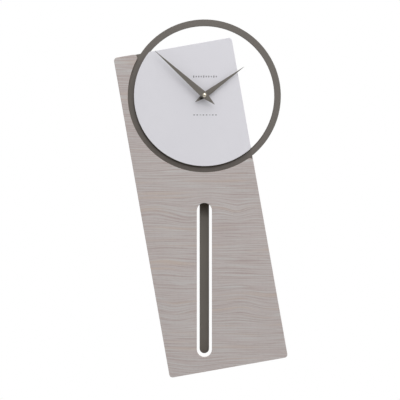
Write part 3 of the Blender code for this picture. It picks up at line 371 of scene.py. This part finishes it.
winding = {
    "turns": 42000.0, "relief": 0.00005,  # turns in radians per metre
    "copper": (0.62, 0.24, 0.1), "dark": (0.42, 0.13, 0.05), "gap": (0.12, 0.03, 0.01),
}
board = {
    "green": (0.015, 0.13, 0.05), "cloud": (0.02, 0.17, 0.07), "track": (0.06, 0.3, 0.13),
    "across": (160, 1, 1900), "along": (1700, 1, 190), "relief": 0.00003,
}
felt = {
    "dark": (0.14, 0.14, 0.145), "pale": (0.27, 0.265, 0.26), "lump": (0.34, 0.33, 0.32),
    "fibres": (1500, 1500, 2600), "relief": 0.00025,
}
sleeve = {  # lengths from the button end, and the bare rim at the flat end
    "rim": 0.0021, "band": 0.0145, "stripe": (0.0153, 0.0162), "flatRim": 0.0004, "relief": 0.00003,
    "blue": (0.025, 0.06, 0.11), "copper": (0.5, 0.25, 0.09), "white": (0.6, 0.6, 0.58),
    "scuff": (0.3, 0.3, 0.3), "steel": (0.6, 0.6, 0.61),
}


def makeWinding(name, centre, radial):
    material, tree, shader = newMaterial(name)
    place = objectPlace(tree)
    split = splitParts(tree, doVector(tree, "SUBTRACT", place, centre))
    flat = joinParts(tree, X=split["X"], Z=split["Z"])
    across = doVector(tree, "LENGTH", flat, output=1) if radial else split["X"]
    turns = doMath(tree, "SINE", doMath(tree, "MULTIPLY", across, winding["turns"]))
    turns = doMath(tree, "MULTIPLY_ADD", turns, 0.5, 0.5)
    patches = evenNoise(tree, place, 500.0, 3.0)
    base = mixColour(tree, remap(tree, patches, 0.35, 0.65), winding["copper"], winding["dark"])
    base = mixColour(tree, remap(tree, turns, 0.0, 0.4, 0.6, 0.0), base, winding["gap"])
    linkShader(tree, shader, colour=base, rough=remap(tree, patches, 0.3, 0.7, 0.28, 0.45))
    shader.inputs["Metallic"].default_value = 1.0
    addBump(tree, shader, turns, winding["relief"], 0.8)
    return material


def makeBoard():
    material, tree, shader = newMaterial("boardGreen")
    place = objectPlace(tree)
    across = stretchedNoise(tree, place, board["across"], 0.0)
    along = stretchedNoise(tree, place, board["along"], 0.0)
    tracks = doMath(tree, "MAXIMUM", remap(tree, across, 0.56, 0.58), remap(tree, along, 0.6, 0.62))
    clouds = evenNoise(tree, place, 300.0, 3.0)
    base = mixColour(tree, remap(tree, clouds, 0.3, 0.7), board["green"], board["cloud"])
    base = mixColour(tree, tracks, base, board["track"])
    linkShader(tree, shader, colour=base, rough=remap(tree, clouds, 0.3, 0.7, 0.3, 0.45))
    addBump(tree, shader, tracks, board["relief"], 0.6)
    return material


def makeFelt():
    material, tree, shader = newMaterial("greyFelt")
    place = objectPlace(tree)
    fibres = stretchedNoise(tree, place, felt["fibres"], 5.0, 0.7, 1.5)
    lumps = evenNoise(tree, place, 420.0, 3.0)
    base = mixColour(tree, remap(tree, fibres, 0.3, 0.7), felt["dark"], felt["pale"])
    base = mixColour(tree, remap(tree, lumps, 0.5, 0.8, 0.0, 0.5), base, felt["lump"])
    linkShader(tree, shader, colour=base, rough=remap(tree, lumps, 0.3, 0.7, 0.88, 1.0))
    shader.inputs["Sheen Weight"].default_value = 0.4
    shader.inputs["Specular IOR Level"].default_value = 0.2
    addBump(tree, shader, fibres, felt["relief"], 0.8)
    return material


# a printed sleeve: dark body, warm band at the button end, bare steel at both rims
def makeCellWrap(low, high):
    material, tree, shader = newMaterial("cellSleeve")
    place = objectPlace(tree)
    along = splitParts(tree, place)["X"]
    steel = doMath(tree, "GREATER_THAN", along, high - sleeve["rim"])
    steel = doMath(tree, "MAXIMUM", steel, doMath(tree, "LESS_THAN", along, low + sleeve["flatRim"]))
    band = doMath(tree, "GREATER_THAN", along, high - sleeve["band"])
    near, far = sleeve["stripe"]
    stripe = doMath(tree, "GREATER_THAN", along, high - far)
    stripe = doMath(tree, "MULTIPLY", stripe, doMath(tree, "LESS_THAN", along, high - near))
    scuffs = stretchedNoise(tree, place, (300, 900, 900), 4.0, 0.6)
    base = mixColour(tree, band, sleeve["blue"], sleeve["copper"])
    base = mixColour(tree, stripe, base, sleeve["white"])
    base = mixColour(tree, remap(tree, scuffs, 0.62, 0.72, 0.0, 0.35), base, sleeve["scuff"])
    base = mixColour(tree, steel, base, sleeve["steel"])
    linkShader(tree, shader, colour=base, metal=steel, rough=remap(tree, scuffs, 0.3, 0.7, 0.2, 0.36))
    addBump(tree, shader, scuffs, sleeve["relief"], 0.4)
    return material


# painted shadows: centre, radius, fade and colour of darker patches painted where shadow falls on a lacquer
lacquers = {
    "ringLacquer": {
        "colour": (0.152, 0.137, 0.123), "shade": (0.145, 0.130, 0.117), "wornColour": (0.24, 0.215, 0.19),
        "grain": 700.0, "rough": (0.42, 0.54), "wearRadius": 0.0009, "wear": 0.35, "dust": 0.2,
        "specular": 0.35, "bump": 0.00003,
        # painted shadow of the dial on the ring, darkest along the dial's lower edge
        "shades": (((-0.0009, 0, -0.0716), 0.1184, 0.0030, (0.036, 0.026, 0.014)),)},
    "dialLacquer": {
        "colour": (0.700, 0.692, 0.730), "shade": (0.690, 0.682, 0.722), "wornColour": (0.76, 0.755, 0.77),
        "grain": 520.0, "rough": (0.55, 0.66), "wearRadius": 0.0007, "wear": 0.3, "dust": 0.2,
        "specular": 0.25, "bump": 0.00002},
    "handLacquer": {
        "colour": (0.150, 0.137, 0.120), "shade": (0.142, 0.130, 0.114), "wornColour": (0.26, 0.24, 0.21),
        "grain": 900.0, "rough": (0.4, 0.52), "wearRadius": 0.0004, "wear": 0.3, "dust": 0.15,
        "specular": 0.35, "bump": 0.00002,
        # painted shadow of the minute hand and cap nut on the hour hand's tail beside the boss; both hands
        # share this finish, so it sits on the minute hand too
        "shades": (((-0.0050, 0, -0.0737), 0.0042, 0.0030, (0.022, 0.018, 0.012)),)},
    "barLacquer": {
        "colour": (0.186, 0.168, 0.148), "shade": (0.176, 0.159, 0.140), "wornColour": (0.25, 0.225, 0.2),
        "grain": 800.0, "rough": (0.42, 0.54), "wearRadius": 0.0006, "wear": 0.35, "dust": 0.2,
        "specular": 0.35, "bump": 0.00002,
        # painted shadow on the bar's upper end, below the top edge of the slot
        "shades": (((0.003, 0, -0.238), 0.034, 0.022, (0.062, 0.044, 0.024)),)},
    "blackPlastic": {
        "colour": (0.022, 0.022, 0.023), "shade": (0.028, 0.028, 0.029), "wornColour": (0.09, 0.09, 0.09),
        "grain": 2600.0, "rough": (0.42, 0.58), "wearRadius": 0.0006, "wear": 0.5, "dust": 0.35,
        "specular": 0.5, "bump": 0.00006},
    "whitePlastic": {
        "colour": (0.76, 0.75, 0.71), "shade": (0.72, 0.705, 0.66), "wornColour": (0.82, 0.81, 0.78),
        "grain": 1800.0, "rough": (0.34, 0.46), "wearRadius": 0.0003, "wear": 0.3, "dust": 0.15,
        "specular": 0.5, "bump": 0.00003},
    "magnetGrey": {
        "colour": (0.05, 0.05, 0.055), "shade": (0.075, 0.073, 0.07), "wornColour": (0.2, 0.2, 0.2),
        "grain": 4200.0, "rough": (0.45, 0.7), "wearRadius": 0.0003, "wear": 0.7, "dust": 0.1,
        "specular": 0.6, "bump": 0.00008},
    "rubberBlack": {
        "colour": (0.018, 0.018, 0.018), "shade": (0.026, 0.026, 0.025), "wornColour": (0.06, 0.06, 0.06),
        "grain": 1500.0, "rough": (0.75, 0.9), "wearRadius": 0.0003, "wear": 0.2, "dust": 0.4,
        "specular": 0.3, "bump": 0.00006},
    "printGrey": {
        "colour": (0.21, 0.205, 0.215), "shade": (0.25, 0.245, 0.255), "wornColour": (0.4, 0.4, 0.41),
        "grain": 3000.0, "rough": (0.5, 0.62), "wearRadius": 0.0002, "wear": 0.2, "dust": 0.1,
        "specular": 0.2, "bump": 0.00001},
}
metals = {
    "capBrass": {
        "colour": (0.78, 0.74, 0.64), "shade": (0.66, 0.59, 0.46), "wornColour": (0.88, 0.84, 0.74),
        "brush": (900, 900, 2400), "rough": (0.16, 0.26), "wear": 0.5, "dust": 0.1, "bump": 0.00001},
    "dullBrass": {
        "colour": (0.66, 0.48, 0.22), "shade": (0.5, 0.34, 0.14), "wornColour": (0.8, 0.64, 0.36),
        "brush": (2400, 900, 700), "rough": (0.26, 0.4), "wear": 0.6, "dust": 0.2, "bump": 0.00002},
    "zincSteel": {
        "colour": (0.58, 0.58, 0.6), "shade": (0.46, 0.47, 0.5), "wornColour": (0.74, 0.74, 0.74),
        "brush": (500, 1400, 1700), "rough": (0.28, 0.44), "wear": 0.6, "dust": 0.3, "bump": 0.00003},
}
finishes = {name: makeLacquer(name, look) for name, look in lacquers.items()}
finishes.update({name: makeMetal(name, look) for name, look in metals.items()})
finishes["greyVeneer"] = makeVeneer(veneer)
finishes["greyFelt"] = makeFelt()
finishes["boardGreen"] = makeBoard()
coilLow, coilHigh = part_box("motor_coil")
finishes["motorWinding"] = makeWinding("motorWinding", (coilLow + coilHigh) / 2, False)
coilLow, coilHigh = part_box("pendulum_coil")
finishes["driveWinding"] = makeWinding("driveWinding", (coilLow + coilHigh) / 2, True)
cellLow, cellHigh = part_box("battery_cell")
finishes["cellSleeve"] = makeCellWrap(cellLow.x, cellHigh.x)
print("finishes ready:", len(finishes))


# pieces
def finishPiece(name, shape, body, finish, replaced=(), angle=sharpAngle):
    bmesh.ops.recalc_face_normals(shape, faces=shape.faces)
    mesh = bpy.data.meshes.new(name)
    shape.to_mesh(mesh)
    shape.free()
    mesh.shade_smooth()
    mesh.set_sharp_from_angle(angle=radians(angle))
    mesh.materials.append(finishes[finish])
    piece = bpy.data.objects.new(name, mesh)
    bpy.context.scene.collection.objects.link(piece)
    even = piece.modifiers.new("evenNormals", "WEIGHTED_NORMAL")  # flats stay flat beside rounded edges
    even.keep_sharp = True
    even.weight = 90
    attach(piece, body)
    if replaced:
        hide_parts(*replaced)
    return piece


def softenEdges(shape, width, steps):
    edges = [edge for edge in shape.edges
             if len(edge.link_faces) == 2 and edge.calc_face_angle(0) > radians(roundingAngle)]
    bmesh.ops.bevel(shape, geom=edges, offset=width, offset_type="OFFSET", segments=steps, profile=0.5,
                    affect="EDGES", clamp_overlap=False, loop_slide=False, material=-1)


# a node's own shape with its flats joined; those with many corners are cut into triangles again, because
# one face around a hole would fold over itself when the edges are rounded
def mergedCopy(node):
    shape = bmesh.new()
    shape.from_mesh(cadNodes[node].data)
    bmesh.ops.remove_doubles(shape, verts=shape.verts, dist=mergeDistance)
    bmesh.ops.dissolve_limit(shape, angle_limit=radians(flatAngle), verts=shape.verts, edges=shape.edges)
    bmesh.ops.triangulate(shape, faces=[face for face in shape.faces if len(face.verts) > 4])
    bmesh.ops.recalc_face_normals(shape, faces=shape.faces)
    return shape


# piece: node, finish, slot, edge radius, steps
softPieces = {
    "hoopPlate": ("ring_plate", "ringLacquer", "ring_lacquer", 0.0005, 3),
    "woodPanel": ("wood_panel", "greyVeneer", "veneer", 0.0005, 3),
    "dial": ("dial_plate", "dialLacquer", "dial_lacquer", 0.0005, 3),
    "hourHand": ("hour_hand", "handLacquer", "hand_lacquer", 0.00018, 2),
    "minuteHand": ("minute_hand", "handLacquer", "hand_lacquer", 0.00018, 2),
    "pendulumBar": ("pendulum_bar", "barLacquer", "bar_lacquer", 0.0005, 3),
    "movementCase": ("movement_case", "blackPlastic", "black_plastic", 0.00035, 2),
    "movementCover": ("movement_cover", "blackPlastic", "black_plastic", 0.00035, 2),
    "hangerBracket": ("hanger_bracket", "zincSteel", "steel", 0.00025, 2),
    "settingKnob": ("setting_knob", "whitePlastic", "white_plastic", 0.00015, 2),
    "pendulumLeader": ("pendulum_leader", "whitePlastic", "white_plastic", 0.0002, 2),
    "leaderMagnet": ("leader_magnet", "magnetGrey", "magnet", 0.0003, 2),
    "rubberWasher": ("rubber_washer", "rubberBlack", "rubber", 0.0001, 2),
    "brassWasher": ("brass_washer", "dullBrass", "brass", 0.0001, 2),
    "hexNut": ("hex_nut", "dullBrass", "brass", 0.0002, 2),
    "wallSpacerLeft": ("wall_spacer_left", "blackPlastic", "black_plastic", 0.0006, 3),
    "wallSpacerRight": ("wall_spacer_right", "blackPlastic", "black_plastic", 0.0006, 3),
    "feltPadLeft": ("felt_pad_left", "greyFelt", "felt", 0.0003, 3),
    "feltPadRight": ("felt_pad_right", "greyFelt", "felt", 0.0003, 3),
    "contactPlus": ("contact_positive", "zincSteel", "steel", 0.0001, 1),
    "contactMinus": ("contact_negative", "zincSteel", "steel", 0.0001, 1),
}
for name, (node, finish, slot, edge, steps) in softPieces.items():
    shape = mergedCopy(node)
    softenEdges(shape, edge, steps)
    finishPiece(name, shape, bodyOf[node], finish, (node,))
print("softened pieces:", len(softPieces))

# inner parts keep their shape and get a finish of their own
innerFinishes = {
    "circuit_board": "boardGreen", "quartz_crystal": "zincSteel", "motor_coil": "motorWinding",
    "motor_stator": "zincSteel", "rotor": "magnetGrey", "intermediate_wheel": "whitePlastic",
    "second_wheel": "whitePlastic", "third_wheel": "whitePlastic", "centre_wheel": "whitePlastic",
    "motion_wheel": "whitePlastic", "cannon_pinion": "dullBrass", "hour_wheel": "dullBrass",
    "threaded_bushing": "dullBrass", "pendulum_coil": "driveWinding", "leader_pivot_pin": "zincSteel",
}
for node, finish in innerFinishes.items():
    for slotIndex in range(len(cadNodes[node].material_slots)):
        cadNodes[node].material_slots[slotIndex].material = finishes[finish]


def spinProfile(profile, centre, steps):
    # the profile holds (radius, y) pairs; it is closed on itself only when it stays clear of the axis
    shape = bmesh.new()
    points = [shape.verts.new((centre[0] + radius, y, centre[2])) for radius, y in profile]
    pairs = list(zip(points, points[1:]))
    if min(profile[0][0], profile[-1][0]) > 0:
        pairs.append((points[-1], points[0]))
    edges = [shape.edges.new(pair) for pair in pairs]
    bmesh.ops.spin(shape, geom=points + edges, cent=centre, axis=(0, 1, 0), dvec=(0, 0, 0), angle=2 * pi,
                   steps=steps, use_merge=True, use_duplicate=False)
    bmesh.ops.remove_doubles(shape, verts=shape.verts, dist=mergeDistance)
    return shape


# a domed nut: a skirt at the back with a groove above it, and a blind bore
capNut = {"steps": 48, "domeSteps": 9, "skirt": 0.0007, "groove": 0.00016, "grooveHeight": 0.0001,
          "lip": 0.00018, "edge": 0.0001, "bore": 0.00175, "roof": 0.55}


def buildCapNut():
    low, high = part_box("cap_nut")
    centre = (low + high) / 2
    radius, height = (high.x - low.x) / 2, high.y - low.y
    front, back = low.y, high.y
    skirt = back - capNut["skirt"]
    dome, edge = radius - capNut["groove"], capNut["edge"]
    roof = back - capNut["roof"] * height
    profile = [(0, front)]
    for step in range(1, capNut["domeSteps"] + 1):
        angle = pi / 2 * step / capNut["domeSteps"]
        profile.append((dome * sin(angle), skirt - (skirt - front) * cos(angle)))
    profile += [(dome, skirt + capNut["grooveHeight"]), (radius, skirt + capNut["lip"]),
                (radius, back - edge), (radius - edge, back),
                (capNut["bore"], back), (capNut["bore"], roof), (0, roof)]
    shape = spinProfile(profile, centre, capNut["steps"])
    finishPiece("capNut", shape, bodyOf["cap_nut"], "capBrass", ("cap_nut",))


buildCapNut()


# plain printed marks; a row is its height above the axis, mark heights in turn, mark width, pitch and count
dialPrint = {"rows": ((0.0318, (0.0036, 0.0026, 0.0030, 0.0024), 0.0019, 0.0042, 10),
                      (-0.0322, (0.0017, 0.0017, 0.0010), 0.0028, 0.0052, 8)),
             "proud": 0.00004, "shift": 0.0011, "corner": 0.42}


def buildDialPrint():
    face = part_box("dial_plate")[0].y
    low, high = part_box("cap_nut")
    axis = (low + high) / 2
    shape = bmesh.new()
    for rise, heights, width, pitch, count in dialPrint["rows"]:
        for number in range(count):
            height = heights[number % len(heights)]
            x = axis.x + dialPrint["shift"] + (number - (count - 1) / 2) * pitch
            place = Matrix.Translation((x, face - dialPrint["proud"] / 2, axis.z + rise))
            size = Matrix.Diagonal((width, dialPrint["proud"], height, 1))
            corners = bmesh.ops.create_cube(shape, size=1.0, matrix=place @ size)["verts"]
            upright = [edge for edge in {edge for corner in corners for edge in corner.link_edges}
                       if abs(edge.verts[0].co.y - edge.verts[1].co.y) > dialPrint["proud"] / 2]
            bmesh.ops.bevel(shape, geom=upright, offset=min(width, height) * dialPrint["corner"],
                            offset_type="OFFSET", segments=3, profile=0.5, affect="EDGES", clamp_overlap=True,
                            material=-1)
    finishPiece("dialPrint", shape, "frame", "printGrey")


buildDialPrint()


# cross-head screws; each stands for its CAD screw, its head towards the wall
screwShape = {"steps": 24, "crownSteps": 4, "recess": 0.0019, "armHalfWidth": 0.00034, "armReach": 0.00155,
              "depth": 0.0009, "taper": 0.7, "headHeight": 0.0018, "headEdge": 0.0001, "shankShare": 17 / 32,
              "neck": 0.0006, "pitch": 0.0007, "thread": 0.00025, "crown": 0.0011}


def screwProfile(low, high):
    headRadius, back = (high.x - low.x) / 2, high.y
    front = back - screwShape["headHeight"]
    shank, recess = headRadius * screwShape["shankShare"], screwShape["recess"]
    pitch, edge = screwShape["pitch"], screwShape["headEdge"]
    profile = [(recess, back)]
    for step in range(1, screwShape["crownSteps"] + 1):
        angle = pi / 2 * step / screwShape["crownSteps"]
        profile.append((recess + (headRadius - recess) * sin(angle),
                        back - screwShape["crown"] * (1 - cos(angle))))
    profile += [(headRadius, front + edge), (headRadius - edge, front), (shank, front)]
    y = front - screwShape["neck"]
    while y - pitch > low.y + shank:
        profile += [(shank, y), (shank - screwShape["thread"], y - pitch / 2)]
        y -= pitch
    return profile + [(shank, y), (shank * 0.4, low.y + shank * 0.35), (0, low.y)]  # a blunt point


# closes the round opening in the head with a cross-shaped recess
def addCross(shape, centre, back):
    rim = [edge for edge in shape.edges if edge.is_boundary]
    half, reach = screwShape["armHalfWidth"], screwShape["armReach"]
    outline = [(half, reach), (half, half), (reach, half),
               (reach, -half), (half, -half), (half, -reach),
               (-half, -reach), (-half, -half), (-reach, -half),
               (-reach, half), (-half, half), (-half, reach)]
    cross = [shape.verts.new((centre.x + x, back, centre.z + z)) for x, z in outline]
    edges = [shape.edges.new((cross[i - 1], cross[i])) for i in range(len(cross))]
    bmesh.ops.bridge_loops(shape, edges=rim + edges)
    walls = bmesh.ops.extrude_edge_only(shape, edges=edges)["geom"]
    sunk = [thing for thing in walls if isinstance(thing, bmesh.types.BMVert)]
    bmesh.ops.translate(shape, verts=sunk, vec=(0, -screwShape["depth"], 0))
    taper = screwShape["taper"]
    bmesh.ops.scale(shape, verts=sunk, vec=(taper, 1, taper), space=Matrix.Translation(-centre))
    bottom = [thing for thing in walls if isinstance(thing, bmesh.types.BMEdge)
              and all(vert in sunk for vert in thing.verts)]
    bmesh.ops.contextual_create(shape, geom=bottom)


def buildScrew(name, node):
    low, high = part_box(node)
    centre = (low + high) / 2
    shape = spinProfile(screwProfile(low, high), centre, screwShape["steps"])
    addCross(shape, centre, high.y)
    finishPiece(name, shape, bodyOf[node], "zincSteel", (node,), angle=50)


screwNodes = [node for node in cadNodes if "_screw_" in node]
for node in screwNodes:
    buildScrew(node.replace("_", "") + "Head", node)
print("screws:", len(screwNodes))


# battery cell: a crimped steel can in a printed sleeve
cellShape = {"steps": 40, "crimp": 0.00035, "crimpStart": 0.0003, "crimpEnd": 0.0008, "shoulder": 0.0011,
             "neck": 0.0001, "edge": 0.0003, "nubRadius": 0.0027, "nubLength": 0.0013, "nubEdge": 0.0004,
             "moat": 0.0006, "rimWidth": 0.0012, "rimEdge": 0.0004, "rimCorner": 0.0005, "sink": 0.0003,
             "baseRound": 0.0006, "baseCorner": 0.0009, "dish": 0.0002, "dishOuter": 0.6, "dishInner": 0.5}


def buildCell():
    low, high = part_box("battery_cell")
    centre = (low + high) / 2
    radius = (high.z - low.z) / 2
    end = high.x - cellShape["nubLength"]
    shoulder = end - cellShape["shoulder"]
    crimp, edge, nub = radius - cellShape["crimp"], cellShape["edge"], cellShape["nubRadius"]
    rim, neck, dish = radius - cellShape["rimWidth"], radius - cellShape["neck"], low.x + cellShape["dish"]
    profile = [(high.x, 0), (high.x, nub - cellShape["nubEdge"]), (high.x - edge, nub),
               (end + cellShape["neck"], nub),
               (end - cellShape["sink"], nub + cellShape["moat"]), (end - cellShape["sink"], rim),
               (end, rim + cellShape["rimEdge"]), (end, radius - cellShape["rimCorner"]), (end - edge, neck),
               (shoulder, neck), (shoulder - cellShape["crimpStart"], crimp),
               (shoulder - cellShape["crimpEnd"], crimp), (shoulder - cellShape["shoulder"], radius),
               (low.x + cellShape["baseRound"], radius), (dish, radius - edge),
               (low.x, radius - cellShape["baseCorner"]), (low.x, radius * cellShape["dishOuter"]),
               (dish, radius * cellShape["dishInner"]), (dish, 0)]
    shape = bmesh.new()
    points = [shape.verts.new((x, centre.y, centre.z + r)) for x, r in profile]
    edges = [shape.edges.new(pair) for pair in zip(points, points[1:])]
    bmesh.ops.spin(shape, geom=points + edges, cent=centre, axis=(1, 0, 0), dvec=(0, 0, 0), angle=2 * pi,
                   steps=cellShape["steps"], use_merge=True, use_duplicate=False)
    bmesh.ops.remove_doubles(shape, verts=shape.verts, dist=mergeDistance)
    finishPiece("batteryCell", shape, "battery", "cellSleeve", ("battery_cell",), angle=50)


buildCell()


# brass eyelet pressed in the bar's hole
eyelet = {"steps": 32, "inner": 0.0015, "outer": 0.0027, "proud": 0.00022, "roundShare": 0.4,
          "lip": 0.0003, "seat": 0.0004}


def buildEyelet():
    low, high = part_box("pendulum_bar")
    middle = (low.x + high.x) / 2
    hole = Vector((middle, (low.y + high.y) / 2, high.z - (high.x - low.x) / 2))
    inner, outer, proud = eyelet["inner"], eyelet["outer"], eyelet["proud"]
    lip, seat, rounded = eyelet["lip"], eyelet["seat"], eyelet["proud"] * eyelet["roundShare"]
    front, back = low.y, high.y
    profile = [(inner, front - proud), (outer - lip, front - proud), (outer, front - rounded), (outer, front),
               (inner + lip, front + seat), (inner + lip, back - seat), (outer, back),
               (outer, back + rounded), (outer - lip, back + proud), (inner, back + proud)]
    shape = spinProfile(profile, hole, eyelet["steps"])
    finishPiece("barEyelet", shape, "pendulum", "dullBrass")


buildEyelet()


# moulded details on the movement's back
coverDetail = {"proud": 0.0004, "sink": 0.0002, "ringSteps": 48, "ringGap": 0.0008, "ringWidth": 0.0009,
               "ringHeight": 0.0009, "ringEdge": 0.0002, "arrowGap": 0.0012, "arrowWidth": 0.0008,
               "arrowStarts": (radians(35), radians(215)), "arrowSweep": radians(70), "arrowSteps": 16,
               "arrowTip": radians(16), "markSize": 0.0027, "markWidth": 0.0007, "ribStart": 0.0055,
               "ribCount": 4, "ribPitch": 0.0042, "ribWidth": 0.0009, "ribHalfLength": 0.0105}

# snap latches across the joint of case and cover; the side ones are measured down from the top
latch = {"offset": 0.017, "width": 0.0064, "height": 0.0007, "sink": 0.0004, "front": 0.0026, "back": 0.0034,
         "edge": 0.0003, "steps": 3, "sideProud": 0.0006, "sideLow": 0.034, "sideHigh": 0.028}


def addBlock(shape, low, high, edge=0.00012, steps=2):
    low, high = Vector(low), Vector(high)
    place = Matrix.Translation((low + high) / 2) @ Matrix.Diagonal((*(high - low), 1))
    corners = bmesh.ops.create_cube(shape, size=1.0, matrix=place)["verts"]
    edges = list({edge for corner in corners for edge in corner.link_edges})
    bmesh.ops.bevel(shape, geom=edges, offset=edge, offset_type="OFFSET", segments=steps, profile=0.5,
                    affect="EDGES", clamp_overlap=True, material=-1)


def buildKnobRing():
    low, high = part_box("setting_knob")
    centre = (low + high) / 2
    radius = (high.x - low.x) / 2 + coverDetail["ringGap"]
    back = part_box("movement_cover")[1].y
    inner, outer = radius, radius + coverDetail["ringWidth"]
    root, top, edge = back - coverDetail["sink"], back + coverDetail["ringHeight"], coverDetail["ringEdge"]
    profile = [(inner, root), (inner, top - edge), (inner + edge, top),
               (outer - edge, top), (outer, top - edge), (outer, root)]
    ring = spinProfile(profile, centre, coverDetail["ringSteps"])
    finishPiece("knobRing", ring, "frame", "blackPlastic")

    shape = bmesh.new()
    reach = outer + coverDetail["arrowGap"]
    width, sweep = coverDetail["arrowWidth"], coverDetail["arrowSweep"]
    for start in coverDetail["arrowStarts"]:
        loop = [(reach, root), (reach, back + coverDetail["proud"]),
                (reach + width, back + coverDetail["proud"]), (reach + width, root)]
        points = [shape.verts.new((centre.x + r * cos(start), y, centre.z + r * sin(start))) for r, y in loop]
        face = shape.faces.new(points)
        bmesh.ops.spin(shape, geom=[face], cent=centre, axis=(0, -1, 0), dvec=(0, 0, 0), angle=sweep,
                       steps=coverDetail["arrowSteps"], use_merge=False, use_duplicate=False)
        tip = start + sweep
        flat = [(reach - width, tip), (reach + width * 2, tip),
                (reach + width / 2, tip + coverDetail["arrowTip"])]
        corners = [shape.verts.new((centre.x + r * cos(a), root, centre.z + r * sin(a))) for r, a in flat]
        head = bmesh.ops.extrude_face_region(shape, geom=[shape.faces.new(corners)])["geom"]
        raised = [thing for thing in head if isinstance(thing, bmesh.types.BMVert)]
        bmesh.ops.translate(shape, verts=raised, vec=(0, coverDetail["proud"] + coverDetail["sink"], 0))
    finishPiece("turnArrows", shape, "frame", "blackPlastic")


def buildCoverMarks():
    low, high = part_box("movement_cover")
    cellLow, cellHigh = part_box("battery_cell")
    level = (cellLow.z + cellHigh.z) / 2
    size, width = coverDetail["markSize"] / 2, coverDetail["markWidth"] / 2
    inset = (high.x - cellHigh.x) / 2
    back, front = high.y + coverDetail["proud"], high.y - coverDetail["sink"]
    shape = bmesh.new()
    plus, minus = high.x - inset, low.x + inset
    for x, halfX, halfZ in ((plus, size * 0.6, width), (plus, width, size), (minus, size * 0.6, width)):
        addBlock(shape, (x - halfX, front, level - halfZ), (x + halfX, back, level + halfZ))
    middle = (low.x + high.x) / 2
    reach = coverDetail["ribHalfLength"]
    for number in range(coverDetail["ribCount"]):
        z = low.z + coverDetail["ribStart"] + number * coverDetail["ribPitch"]
        addBlock(shape, (middle - reach, front, z), (middle + reach, back, z + coverDetail["ribWidth"]))
    finishPiece("coverMarks", shape, "frame", "blackPlastic")


def buildLatches():
    low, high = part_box("movement_cover")
    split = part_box("movement_case")[1].y
    front, back = split - latch["front"], split + latch["back"]
    middle, half = (low.x + high.x) / 2, latch["width"] / 2
    shape = bmesh.new()
    for x in (middle - latch["offset"], middle + latch["offset"]):
        addBlock(shape, (x - half, front, high.z - latch["sink"]), (x + half, back, high.z + latch["height"]),
                 latch["edge"], latch["steps"])
    for x in (low.x, high.x):
        addBlock(shape, (x - latch["sideProud"], front, high.z - latch["sideLow"]),
                 (x + latch["sideProud"], back, high.z - latch["sideHigh"]), latch["edge"], latch["steps"])
    finishPiece("caseLatches", shape, "frame", "blackPlastic")


buildKnobRing()
buildCoverMarks()
buildLatches()
print("movement details ready")


# floor, light and camera
def placeStudio():
    shape = bmesh.new()
    bmesh.ops.create_circle(shape, cap_ends=True, radius=studio["floorRadius"], segments=64,
                            matrix=Matrix.Translation((0, 0, studio["floorHeight"])))
    mesh = bpy.data.meshes.new("floor")
    shape.to_mesh(mesh)
    shape.free()
    material, tree, shader = newMaterial("paleFloor")
    surface = placeGroup(tree, fineSurface, Scale=40.0, Low=0.7, High=0.85)
    tree.links.new(surface["Roughness"], shader.inputs["Roughness"])
    shader.inputs["Base Color"].default_value = (0.85, 0.85, 0.85, 1)
    mesh.materials.append(material)
    floor = bpy.data.objects.new("floor", mesh)
    bpy.context.scene.collection.objects.link(floor)

    world = bpy.data.worlds.new("studio")
    world.use_nodes = True
    bpy.context.scene.world = world
    tree = world.node_tree
    tree.nodes.clear()
    seen = addNode(tree, "ShaderNodeBackground", {"Color": (1, 1, 1, 1), "Strength": 1.0}).outputs[0]
    aim = addNode(tree, "ShaderNodeTexCoord").outputs["Generated"]
    height = addNode(tree, "ShaderNodeSeparateXYZ", {"Vector": aim}).outputs["Z"]
    strength = remap(tree, height, -1.0, 1.0, studio["fillBelow"], studio["fillAbove"])
    glow = addNode(tree, "ShaderNodeBackground", {"Color": (*studio["fillColour"], 1), "Strength": strength})
    path = addNode(tree, "ShaderNodeLightPath").outputs["Is Camera Ray"]
    both = addNode(tree, "ShaderNodeMixShader", {0: path, 1: glow.outputs[0], 2: seen}).outputs[0]
    addNode(tree, "ShaderNodeOutputWorld", {"Surface": both})

    for name, look in studio["softboxes"].items():
        lamp = bpy.data.lights.new(name, "AREA")
        lamp.shape = "DISK"
        lamp.size = look["size"]
        lamp.energy = look["power"]
        softbox = bpy.data.objects.new(name, lamp)
        direction = Vector(look["direction"]).normalized()
        softbox.location = dialCentre + direction * look["distance"]
        softbox.rotation_euler = direction.to_track_quat("Z", "Y").to_euler()
        bpy.context.scene.collection.objects.link(softbox)

    camera = bpy.data.cameras.new("camera")
    camera.sensor_width = 36.0
    camera.lens = camera.sensor_width * studio["cameraDistance"] / studio["viewWidth"]
    camera.clip_end = 20
    view = bpy.data.objects.new("camera", camera)
    view.location = (studio["aim"][0], dialCentre.y - studio["cameraDistance"], studio["aim"][1])
    view.rotation_euler = (pi / 2, 0, 0)
    bpy.context.scene.collection.objects.link(view)
    bpy.context.scene.camera = view
    bpy.context.scene.view_settings.view_transform = "Standard"


dialLow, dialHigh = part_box("hour_wheel")
dialCentre = Vector(((dialLow.x + dialHigh.x) / 2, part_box("ring_plate")[0].y, (dialLow.z + dialHigh.z) / 2))
studio = {
    "floorHeight": -1.3, "floorRadius": 3.0,
    "fillBelow": 0.16, "fillAbove": 0.66, "fillColour": (1.0, 1.0, 1.0),
    "softboxes": {
        "key": {"size": 2.8, "power": 48.0, "distance": 2.2, "direction": (0.29, -0.56, 0.77)},
        "back": {"size": 1.6, "power": 20.0, "distance": 2.2, "direction": (-0.3, 0.75, 0.6)},
    },
    "cameraDistance": 2.51, "viewWidth": 0.6691, "aim": (-0.00729, -0.24266),
}
placeStudio()
